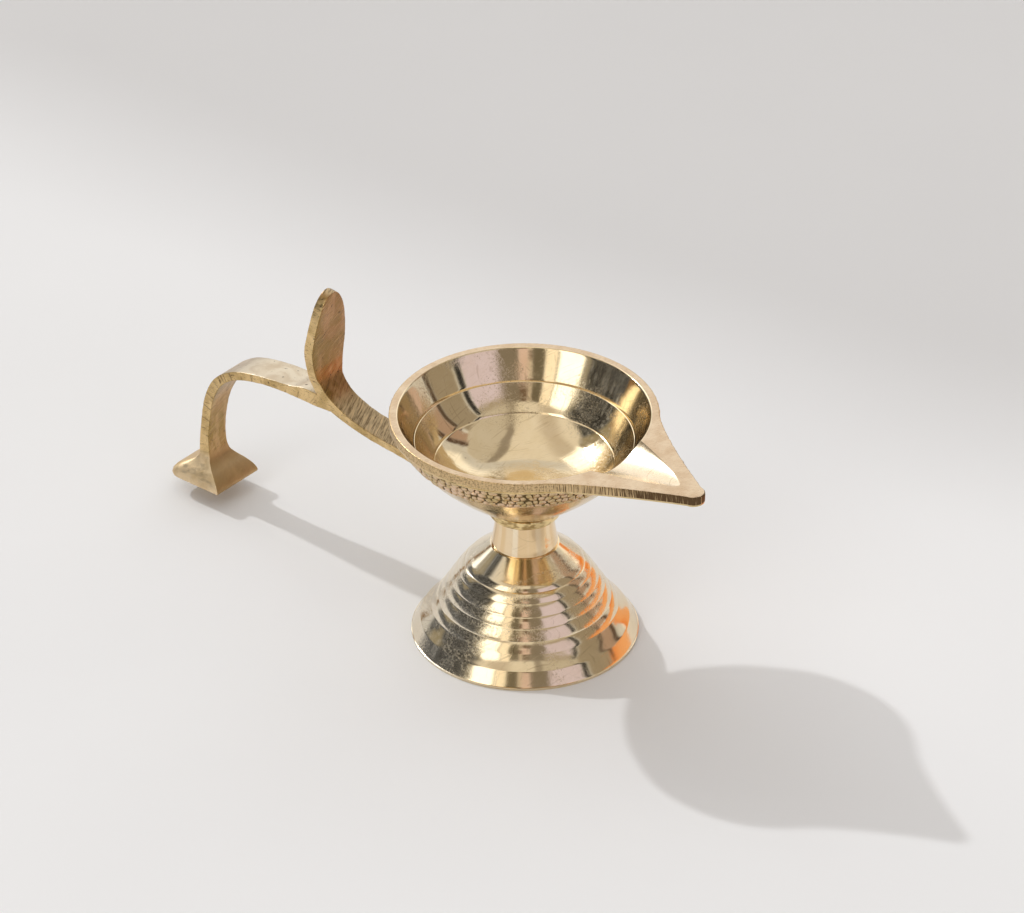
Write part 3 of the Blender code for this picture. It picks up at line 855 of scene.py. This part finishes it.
def polished_brass(name, light, deep, base_roughness, tarnish=0.35, haze=0.25, scuffs=0.5,
                   streaks_and_strip_highlight=0.0, silver=0.0):
    """Lathe-turned and buffed brass: faint rings, hairline scratches, scuffed patches and dark specks.

    Streaks darken upright bands all round, partly tarnish and partly painted reflection, and leave one strip
    light as a painted highlight; silver is how far one side is made paler and greyer."""
    material, n, shader = metal(name)
    place = n.place()
    patches = n.noise(place, 150.0, 5.0, 0.62, 0.4)
    colour = n.mix(n.range(patches, 0.35, 0.72, 0.0, tarnish), light, deep)
    # One side, centred 118 degrees round from the spout, made paler and greyer by the given share.
    if silver:
        side = n.math("ABSOLUTE", n.plus(n.turn(place), math.radians(118.0)))
        pale_side = n.range(side, math.radians(22.0), math.radians(50.0), silver, 0.0)
        colour = n.mix(pale_side, colour, (0.80, 0.77, 0.70))
    # Upright streaks, partly tarnish and partly painted reflection, darken all round except one strip kept
    # light as a painted highlight.
    if streaks_and_strip_highlight:
        upright = n.range(n.noise(n.lathe(3.2, 0.0), 1.0, 1.0, 0.5), 0.42, 0.60, 0.55, 1.0)
        off_highlight_strip = n.range(n.math("ABSOLUTE", n.plus(n.turn(place), math.radians(66.0))), 0.06, 0.12)
        colour = n.mix(n.times(upright, off_highlight_strip, streaks_and_strip_highlight), colour, deep)
    specks = n.range(n.noise(place, 1000.0, 2.0, 0.5), 0.765, 0.80)
    rings = n.noise(n.lathe(0.7, 5200.0), 1.0, 4.0, 0.65)
    waves = n.noise(n.lathe(2.5, 420.0), 1.0, 2.0, 0.5)
    hairs = n.math("MAXIMUM", scratches(n, place, (0.3, 0.4, 0.7), 5200.0),
                   scratches(n, place, (1.1, -0.5, 2.1), 4300.0))
    worn = n.range(n.noise(place, 105.0, 4.0, 0.6, 0.6), 0.47, 0.60)
    mottle = n.noise(place, 2300.0, 4.0, 0.72)
    dirt = n.times(n.range(mottle, 0.56, 0.70), worn, 0.65 * scuffs)
    colour = n.mix(dirt, colour, (0.16, 0.12, 0.07))
    colour = n.mix(n.times(specks, 0.85), colour, (0.10, 0.055, 0.03))
    colour = n.mix(n.times(hairs, 0.22), colour, (0.30, 0.20, 0.10))
    dull = n.times(n.range(mottle, 0.42, 0.66), worn, haze)
    roughness = n.plus(n.plus(dull, n.times(rings, 0.05)), base_roughness)
    roughness = n.plus(roughness, n.times(specks, 0.4), clamp=True)
    normal = n.bump(rings, 0.0000035)
    normal = n.bump(waves, 0.000012, 0.6, normal)
    normal = n.bump(hairs, 0.000005, 0.5, normal)
    normal = n.bump(n.times(mottle, worn), 0.000022, scuffs, normal)
    connect(n, shader, colour, roughness, normal)
    return material


def rim_land_brass():
    """The filed flat top of the rim: pale, matt, with fine brush marks and a few nicks."""
    material, n, shader = metal("bowl_land")
    place = n.place()
    brush = n.noise(n.stretched(place, (5200.0, 700.0, 900.0), (0.0, 0.0, 0.5)), 1.0, 4.0, 0.7)
    cloud = n.noise(place, 260.0, 4.0, 0.6)
    colour = n.mix(n.range(cloud, 0.3, 0.7), (0.82, 0.67, 0.50), (0.68, 0.51, 0.35))
    nicks = n.range(n.noise(place, 620.0, 3.0, 0.5), 0.71, 0.78)
    colour = n.mix(nicks, colour, (0.20, 0.12, 0.06))
    colour = n.mix(n.range(brush, 0.40, 0.60, 0.30, 0.0), colour, (0.52, 0.37, 0.22))
    roughness = n.plus(n.range(brush, 0.3, 0.7, 0.0, 0.20), 0.24)
    normal = n.bump(brush, 0.00002, 0.9)
    connect(n, shader, colour, roughness, normal)
    return material


def rim_edge_brass():
    """The rim's outer edge: upright file strokes, darkest at the spout's tip, and grainy gold elsewhere."""
    material, n, shader = metal("bowl_edge")
    run = n.stored("edge_run")
    height = n.parts(n.place())["Z"]
    across = n.plus(n.times(run, 4200.0), n.times(height, 300.0))
    strokes = n.noise(n.combined(across, n.times(height, 170.0)), 1.0, 3.0, 0.62)
    grain = n.noise(n.place(), 2600.0, 3.0, 0.65)
    away = n.math("ABSOLUTE", run)
    on_spout = n.range(away, 0.026, 0.037, 1.0, 0.0)
    elsewhere = n.minus(1.0, on_spout)
    value = n.plus(n.times(strokes, on_spout), n.times(grain, elsewhere))
    limit = n.range(away, 0.006, 0.026, 0.60, 0.46)
    share = n.range(n.minus(value, limit), -0.05, 0.055)
    dark = n.mix(on_spout, (0.40, 0.28, 0.145), (0.13, 0.08, 0.04))
    colour = n.mix(share, dark, (0.66, 0.48, 0.26))
    normal = n.bump(value, 0.00006, 0.5)
    normal = n.bump(grain, 0.00002, 0.6, normal)
    connect(n, shader, colour, n.range(share, 0.0, 1.0, 0.5, 0.3), normal)
    return material


def pebble_brass():
    """The embossed band: worn pinkish tops over dark, dirty recesses."""
    material, n, shader = metal("bowl_pebbles")
    place = n.place()
    dirt = n.noise(place, 1500.0, 4.0, 0.65)
    ragged = n.times(n.minus(dirt, 0.5), 0.7)
    share = n.range(n.plus(n.stored("recess"), ragged), 0.36, 0.86)
    top = n.mix(n.range(n.noise(place, 380.0, 3.0, 0.5), 0.35, 0.65), (0.76, 0.54, 0.36), (0.56, 0.42, 0.20))
    colour = n.mix(share, top, (0.16, 0.11, 0.045))
    roughness = n.range(share, 0.0, 1.0, 0.14, 0.5)
    normal = n.bump(dirt, 0.00002, 0.6)
    connect(n, shader, colour, roughness, normal)
    return material


def cast_brass():
    """The handle: filed casting, coloured by which way each face turns as painted light and shade: brown
    inside the curves, golden on its sides, pale on the arch's top as a painted highlight.
    """
    material, n, shader = metal("handle_cast")
    place = n.place()
    facing = n.parts(n.add("ShaderNodeNewGeometry").outputs["Normal"])
    sideways = n.math("ABSOLUTE", facing["Y"])
    spot = n.parts(place)
    side = n.range(sideways, 0.55, 0.9)
    upward = n.range(facing["Z"], 0.72, 0.97)
    on_arch = n.range(spot["X"], AXIS_X - 0.0568, AXIS_X - 0.0528, 1.0, 0.0)
    flat = n.vector("MULTIPLY", n.vector("SUBTRACT", place, (AXIS_X, 0.0, 0.0)), (1.0, 1.0, 0.0))
    collar = n.range(n.vector("LENGTH", flat), 0.0082, 0.0088, 1.0, 0.0)

    # File marks: slanting on upright faces, crosswise on top, and nicks across the sides of the arch.
    slant = n.noise(n.stretched(place, (600.0, 230.0, 3000.0), (-0.50, 0.0, 0.0)), 1.0, 4.0, 0.68)
    cross = n.noise(n.stretched(place, (2900.0, 240.0, 700.0), (0.0, 0.0, -0.47)), 1.0, 4.0, 0.65)
    marks = n.mix(upward, slant, cross)
    marks = n.mix(n.times(on_arch, upward, 0.8), marks, (0.5, 0.5, 0.5))
    reach = n.minus(AXIS_X - ARCH_CENTRE[0], spot["X"])
    rise = n.minus(spot["Z"], ARCH_CENTRE[1])
    turn = n.times(n.math("ARCTAN2", reach, rise), 26.0)
    nick_place = n.combined(turn, n.times(spot["Z"], 130.0))
    off_foot = n.range(spot["Z"], FOOT_CLEARANCE + 0.005, FOOT_CLEARANCE + 0.008)
    nicks = n.range(n.noise(nick_place, 1.0, 3.0, 0.7), 0.55, 0.66)
    nicks = n.times(nicks, side, on_arch, off_foot)

    cloud = n.noise(place, 190.0, 5.0, 0.62, 0.5)
    red = n.noise(n.stretched(place, (160.0, 420.0, 110.0)), 1.0, 3.0, 0.6)
    brown = n.mix(n.range(cloud, 0.34, 0.66), (0.38, 0.205, 0.085), (0.31, 0.185, 0.062))
    brown = n.mix(n.range(red, 0.45, 0.62), brown, (0.46, 0.265, 0.13))
    # Painted shade: brown faces turn darker olive towards the bar's near (-Y) edge.
    out = n.minus(spot["X"], AXIS_X)
    offset = n.minus(spot["Y"], n.times(out, math.tan(HANDLE_TURN)))
    brown = n.mix(n.range(offset, -0.0046, -0.0012, 0.75, 0.0), brown, (0.30, 0.205, 0.062))
    brown = n.mix(on_arch, brown, n.vector("MULTIPLY", brown, (1.12, 1.22, 1.15)))
    gold = n.mix(n.range(cloud, 0.34, 0.66), (0.80, 0.58, 0.29), (0.52, 0.36, 0.15))
    # Upward faces: darker on the strap's top, with crosswise file marks, as painted shade under the leaf and
    # the bowl; pale on the arch's top as a painted highlight.
    strap_top_shade = n.mix(n.range(cross, 0.36, 0.62), (0.27, 0.20, 0.115), (0.54, 0.41, 0.25))
    arch_top_highlight = n.mix(n.range(cloud, 0.35, 0.65), (0.70, 0.62, 0.50), (0.56, 0.46, 0.34))
    # Painted light and shade: faces turned sideways are golden, the rest brown, one brass in lit and shaded
    # copies.
    colour = n.mix(side, brown, gold)
    colour = n.mix(upward, colour, n.mix(on_arch, strap_top_shade, arch_top_highlight))
    colour = n.mix(n.range(marks, 0.54, 0.66, 0.0, 0.45), colour, (0.72, 0.50, 0.27))
    colour = n.mix(n.range(marks, 0.46, 0.34, 0.0, 0.55), colour, (0.20, 0.125, 0.06))
    # The square foot: pale beige on facets turned sideways and tan on the rest, as painted light; a cloudy
    # tone over both.
    foot = n.mix(n.range(sideways, 0.30, 0.60), (0.52, 0.37, 0.20), (0.90, 0.74, 0.52))
    foot = n.mix(n.range(cloud, 0.40, 0.62, 0.0, 0.45), foot, (0.62, 0.44, 0.22))
    colour = n.mix(n.range(off_foot, 0.0, 1.0, 0.72, 0.0), colour, foot)
    colour = n.mix(n.times(nicks, 0.75), colour, (0.18, 0.11, 0.05))
    ring = n.noise(n.lathe(3.0, 900.0), 1.0, 3.0, 0.6)
    ring = n.mix(n.range(ring, 0.40, 0.54), (0.40, 0.27, 0.11), (0.90, 0.70, 0.36))
    colour = n.mix(n.times(collar, 0.9), colour, ring)
    pits = n.range(n.noise(place, 950.0, 3.0, 0.6), 0.65, 0.72)
    pits = n.times(pits, n.range(off_foot, 0.0, 1.0, 0.15, 1.0))
    colour = n.mix(n.times(pits, 0.85), colour, (0.11, 0.07, 0.035))
    roughness = n.plus(n.range(marks, 0.35, 0.65, 0.0, 0.16), n.range(collar, 0.0, 1.0, 0.24, 0.02))
    roughness = n.plus(roughness, n.range(off_foot, 0.0, 1.0, 0.18, 0.0))
    normal = n.bump(marks, 0.00007, 0.75)
    normal = n.bump(nicks, 0.00005, 0.8, normal)
    normal = n.bump(cloud, 0.0002, 0.3, normal)
    normal = n.bump(pits, 0.00006, 0.6, normal)
    connect(n, shader, colour, roughness, normal)
    return material


def plain_metal(name, light, deep, base_roughness):
    """Plain turned metal for the hidden hardware."""
    material, n, shader = metal(name)
    place = n.place()
    cloud = n.noise(place, 700.0, 4.0, 0.6)
    rings = n.noise(n.lathe(1.0, 6000.0), 1.0, 3.0, 0.6)
    colour = n.mix(n.range(cloud, 0.35, 0.7), light, deep)
    roughness = n.plus(n.range(rings, 0.3, 0.7, 0.0, 0.15), base_roughness)
    connect(n, shader, colour, roughness, n.bump(rings, 0.00001, 0.6))
    return material


def table_white():
    """The table's pale, matt, faintly clouded top."""
    material, n, shader = new_material("table")
    cloud = n.noise(n.place(), 9.0, 4.0, 0.5)
    grain = n.noise(n.place(), 900.0, 3.0, 0.6)
    colour = n.mix(n.range(cloud, 0.3, 0.7), (0.855, 0.868, 0.885), (0.840, 0.853, 0.870))
    shader.inputs["Specular IOR Level"].default_value = 0.0
    connect(n, shader, colour, n.range(grain, 0.3, 0.7, 0.55, 0.65), n.bump(grain, 0.00001, 0.3))
    return material


# The camera, the table and the room. Lengths are in metres and angles in degrees, but the lens and the
# sensor are in millimetres.

CAMERA_DISTANCE = 1.268
CAMERA_ELEVATION = 33.6643
CAMERA_AZIMUTH = -47.9
CAMERA_ROLL = -0.30
AIM = (AXIS_X - 0.01505, 0.01275, 0.03027)
FOCAL_LENGTH = 210.94
SENSOR_WIDTH = 36.0


def from_axis(azimuth, elevation):
    """A unit vector from the lamp towards a place in the room, with azimuth counted from +X."""
    a, e = math.radians(azimuth), math.radians(elevation)
    return Vector((math.cos(e) * math.cos(a), math.cos(e) * math.sin(a), math.sin(e)))


def build_camera():
    data = bpy.data.cameras.new("camera")
    data.sensor_width = SENSOR_WIDTH
    data.sensor_fit = "HORIZONTAL"
    data.lens = FOCAL_LENGTH
    data.clip_start = 0.01
    data.clip_end = 50.0
    camera = add_object("camera", data)
    place = Vector((AXIS_X, 0.0, 0.0)) + CAMERA_DISTANCE * from_axis(CAMERA_AZIMUTH, CAMERA_ELEVATION)
    look = (Vector(AIM) - place).to_track_quat("-Z", "Y").to_matrix().to_4x4()
    roll = Matrix.Rotation(math.radians(CAMERA_ROLL), 4, "Z")
    camera.matrix_world = Matrix.Translation(place) @ look @ roll
    bpy.context.scene.camera = camera


TABLE_HALF = 3.0


def build_table(material):
    steps = np.linspace(-TABLE_HALF, TABLE_HALF, 25)
    xs, ys = np.meshgrid(steps, steps, indexing="ij")
    points = np.stack([xs, ys, np.zeros_like(xs)], axis=-1)
    index = np.arange(points.shape[0] * points.shape[1]).reshape(xs.shape)
    quads = np.stack([index[:-1, :-1], index[1:, :-1], index[1:, 1:], index[:-1, 1:]], axis=-1)
    mesh = mesh_from("table_top", points.reshape(-1, 3), quads)
    mesh.materials.append(material)
    table = add_object("table_top", mesh)


SUN_AZIMUTH = 181.05
SUN_ELEVATION = 37.47
SUN_STRENGTH = 1.05
SUN_WIDTH = math.radians(1.6)


def build_sun():
    data = bpy.data.lights.new("window_sun", "SUN")
    data.energy = SUN_STRENGTH
    data.angle = SUN_WIDTH
    sun = add_object("window_sun", data)
    sun.matrix_world = from_axis(SUN_AZIMUTH, SUN_ELEVATION).to_track_quat("Z", "Y").to_matrix().to_4x4()


# The soft edge of the shade across the far side of the table, and the height of the screen that casts it.
SHADE_EDGE = [(-0.60, 0.020), (-0.22, 0.084), (-0.076, 0.098), (0.061, 0.126), (0.60, 0.30)]
SCREEN_HEIGHT = 1.6
SCREEN_DEPTH = 1.5


def build_screen():
    """A screen over the table, seen by nothing but the sunlight it blocks."""
    towards = from_axis(SUN_AZIMUTH, SUN_ELEVATION)
    lean = Vector((towards.x, towards.y)) * (SCREEN_HEIGHT / towards.z)
    edge = [(x + lean.x, y + lean.y, SCREEN_HEIGHT) for x, y in SHADE_EDGE]
    far = [(x, y + SCREEN_DEPTH, z) for x, y, z in edge]
    count = len(edge)
    quads = [(i, i + 1, count + i + 1, count + i) for i in range(count - 1)]
    screen = add_object("shade_screen", mesh_from("shade_screen", edge + far, quads))
    hide_from(screen, ("camera", "diffuse", "glossy", "transmission"))
    screen.data.materials.append(bpy.data.materials["table"])


# The crumpled cloth: its section, as distance from the lamp's axis and share of its height, how far it goes
# round, in degrees to the right of the camera's direction, where it rises, its low height, how much it
# rises and how deep it is crumpled.
CLOTH_SECTION = [(0.080, 0.0), (0.090, 0.3), (0.100, 0.8), (0.110, 1.0)]
CLOTH_FROM, CLOTH_TO = 72.0, 140.0
CLOTH_RISES = (121.0, 127.0)
CLOTH_LOW, CLOTH_RISE, CLOTH_CRUMPLE = 0.020, 0.028, 0.002
CLOTH_LIFT = 0.0004


def build_cloth():
    """An orange cloth lying beside the lamp, out of the picture and seen only in the brass: a sheet that
    glows with its own light in place of a lit cloth, lighter near the table.
    """
    material, n, shader = new_material("cloth")
    weave = n.noise(n.place(), 60.0, 3.0, 0.6)
    glow = n.mix(n.range(weave, 0.3, 0.7), (0.95, 0.34, 0.09), (0.85, 0.25, 0.05))
    # Glows lighter near the table.
    glow = n.mix(n.range(n.parts(n.place())["Z"], 0.008, 0.020, 0.8, 0.0), glow, (0.98, 0.52, 0.25))
    shader.inputs["Base Color"].default_value = (0.0, 0.0, 0.0, 1.0)
    shader.inputs["Specular IOR Level"].default_value = 0.0
    material.node_tree.links.new(glow, shader.inputs["Emission Color"])
    shader.inputs["Emission Strength"].default_value = 1.0
    turns = np.linspace(CLOTH_FROM, CLOTH_TO, 35)
    angles = np.radians(CAMERA_AZIMUTH + turns)
    top = CLOTH_LOW + CLOTH_RISE * smoothstep(*CLOTH_RISES, turns) + CLOTH_CRUMPLE * np.sin(turns * 0.9)
    points = [(AXIS_X + reach * math.cos(a), reach * math.sin(a), CLOTH_LIFT + share * high)
              for reach, share in CLOTH_SECTION for a, high in zip(angles, top)]
    count = len(angles)
    quads = [(row * count + i, (row + 1) * count + i, (row + 1) * count + i + 1, row * count + i + 1)
             for row in range(len(CLOTH_SECTION) - 1) for i in range(count - 1)]
    cloth = add_object("cloth", mesh_from("cloth", points, quads))
    cloth.data.materials.append(material)
    hide_from(cloth, ("camera", "diffuse", "shadow", "transmission"))


# What the room shows in the brass: azimuth range seen from the lamp, counted to the right of the camera's
# direction, elevation range, edge softness, colour.
ROOM_PANELS = [
    (5, 25, -10, 46, 1.0, (0.25, 0.215, 0.17)),
    (-4, 5, -10, 33, 0.8, (0.78, 0.60, 0.54)),
    (-4, 5, 33, 46, 0.8, (0.17, 0.11, 0.07)),
    (-8, -4, 24, 46, 0.8, (0.72, 0.62, 0.50)),
    (-8, -4, -10, 24, 0.8, (0.20, 0.13, 0.09)),
    (-20, -8, -10, 46, 1.0, (0.18, 0.155, 0.11)),
    (-31, -20, -10, 47, 0.8, (1.25, 1.12, 0.92)),
    (-33, -31, -10, 46, 0.6, (0.22, 0.19, 0.12)),
    (-56, -33, 12, 46, 2.0, (2.10, 2.05, 1.90)),
    (-56, -33, -10, 12, 2.0, (0.42, 0.38, 0.30)),
    (25, 59, -10, 39, 0.8, (0.74, 0.66, 0.80)),
    (25, 59, 39, 47, 0.8, (0.46, 0.40, 0.32)),
    (60, 66, 8, 46, 0.8, (0.03, 0.03, 0.03)),
    (68, 94, -10, 47, 1.5, (0.36, 0.31, 0.24)),
    (94, 99, -10, 40, 1.0, (0.10, 0.07, 0.05)),
    (99, 113, 12, 47, 1.0, (0.46, 0.33, 0.26)),
    (113, 119, 8, 47, 1.0, (0.10, 0.06, 0.04)),
    (130, 181, 9, 38, 3.0, (1.18, 1.14, 1.06)),
    (-181, -160, 9, 38, 3.0, (1.18, 1.14, 1.06)),
    (-128, -57, -10, 47, 3.0, (0.085, 0.088, 0.094)),
    (-64, -57, 8, 47, 2.5, (0.36, 0.33, 0.26)),
    (-104, -62, 11, 47, 1.5, (0.035, 0.033, 0.03)),
    (-122, -107, 14, 47, 2.5, (0.34, 0.29, 0.19)),
    (-158, -124, 20, 50, 3.0, (1.9, 1.87, 1.76)),
]
# Bands across the ceiling, above this elevation: how far to the right of straight up they lie, edge
# softness, colour.
CEILING_LOW = 46
CEILING_BANDS = [
    (-1.1, 1.1, 0.02, (0.86, 0.80, 0.70)),
    (0.19, 1.1, 0.02, (0.62, 0.57, 0.49)),
    (0.13, 0.23, 0.012, (0.34, 0.30, 0.25)),
    (-0.46, -0.22, 0.08, (0.66, 0.59, 0.50)),
]
ROOM_COLOUR = (0.74, 0.73, 0.72)


def build_room():
    """The room's light: coloured panels and ceiling bands on an uneven pale grey, for the brass to show."""
    world = bpy.data.worlds.new("room")
    bpy.context.scene.world = world
    world.use_nodes = True
    tree = world.node_tree
    n = Nodes(tree)
    shader = tree.nodes["Background"]
    direction = n.add("ShaderNodeTexCoord").outputs["Generated"]
    ahead = tuple(from_axis(CAMERA_AZIMUTH, 0.0))
    right = tuple(from_axis(CAMERA_AZIMUTH + 90.0, 0.0))
    sideways = n.vector("DOT_PRODUCT", direction, right)
    azimuth = n.math("ARCTAN2", sideways, n.vector("DOT_PRODUCT", direction, ahead))
    azimuth = n.times(azimuth, 180.0 / math.pi)
    elevation = n.times(n.math("ARCSINE", n.parts(direction)["Z"]), 180.0 / math.pi)
    uneven = n.noise(direction, 3.0, 4.0, 0.6)
    colour = n.mix(n.range(uneven, 0.3, 0.7, 0.0, 0.35), ROOM_COLOUR, (0.50, 0.48, 0.44))
    overhead = n.range(elevation, CEILING_LOW - 1.0, CEILING_LOW + 1.0)

    def between(value, low, high, soft):
        below_high = n.range(value, high - soft, high + soft, 1.0, 0.0)
        return n.times(n.range(value, low - soft, low + soft), below_high)

    for left, right_edge, soft, tint in CEILING_BANDS:
        colour = n.mix(n.times(between(sideways, left, right_edge, soft), overhead), colour, tint)
    for left, right_edge, low, high, soft, tint in ROOM_PANELS:
        share = n.times(between(elevation, low, high, soft), between(azimuth, left, right_edge, soft))
        colour = n.mix(share, colour, tint)
    rays = n.add("ShaderNodeLightPath").outputs
    clutter = n.range(n.noise(direction, 20.0, 5.0, 0.75), 0.53, 0.62, 0.0, 0.8)
    for edge, inside in ((-130.0, -122.0), (-56.0, -66.0)):
        clutter = n.times(clutter, n.range(azimuth, edge, inside))
    colour = n.mix(n.times(clutter, n.range(elevation, 49.0, 45.0)), colour, (0.72, 0.73, 0.75))
    colour = n.mix(rays["Is Diffuse Ray"], colour, n.vector("MULTIPLY", colour, (1.08, 1.105, 1.175)))
    colour = n.mix(rays["Is Camera Ray"], colour, (0.80, 0.80, 0.80))
    tree.links.new(colour, shader.inputs["Color"])
    shader.inputs["Strength"].default_value = 1.0


# The scene.

def main():
    inside = polished_brass("bowl_inside", (0.88, 0.74, 0.52), (0.74, 0.58, 0.34), 0.05)
    outside = polished_brass("bowl_outside", (0.78, 0.60, 0.34), (0.54, 0.41, 0.18), 0.10, 0.7, 0.25, 0.9)
    trough = polished_brass("bowl_trough", (0.92, 0.79, 0.62), (0.82, 0.65, 0.44), 0.20, 0.6, 0.2, 0.4)
    build_bowl([inside, rim_land_brass(), rim_edge_brass(), outside, pebble_brass(), trough])
    build_handle([cast_brass()])
    # The neck has upright streaks, partly painted reflection, with one strip left light as a painted
    # highlight.
    build_neck([polished_brass("neck", (1.0, 0.86, 0.64), (0.84, 0.62, 0.36), 0.05, 0.3, 0.15, 0.4, 1.0)])
    build_base([polished_brass("base", (0.87, 0.73, 0.51), (0.72, 0.58, 0.36), 0.09, 0.4, 0.3, silver=0.45)])
    hardware = {
        "tie_stud": plain_metal("stud_steel", (0.62, 0.61, 0.58), (0.44, 0.42, 0.38), 0.32),
        "washer": plain_metal("washer_brass", (0.80, 0.62, 0.36), (0.56, 0.42, 0.22), 0.30),
        "spring_washer": plain_metal("spring_steel", (0.52, 0.51, 0.49), (0.34, 0.32, 0.30), 0.38),
        "nut": plain_metal("nut_brass", (0.82, 0.64, 0.38), (0.58, 0.44, 0.24), 0.28),
    }
    for node, material in hardware.items():
        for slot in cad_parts[node].material_slots:
            slot.material = material
    build_table(table_white())
    build_camera()
    build_sun()
    build_screen()
    build_cloth()
    build_room()
    bpy.context.scene.view_settings.view_transform = "Standard"


main()
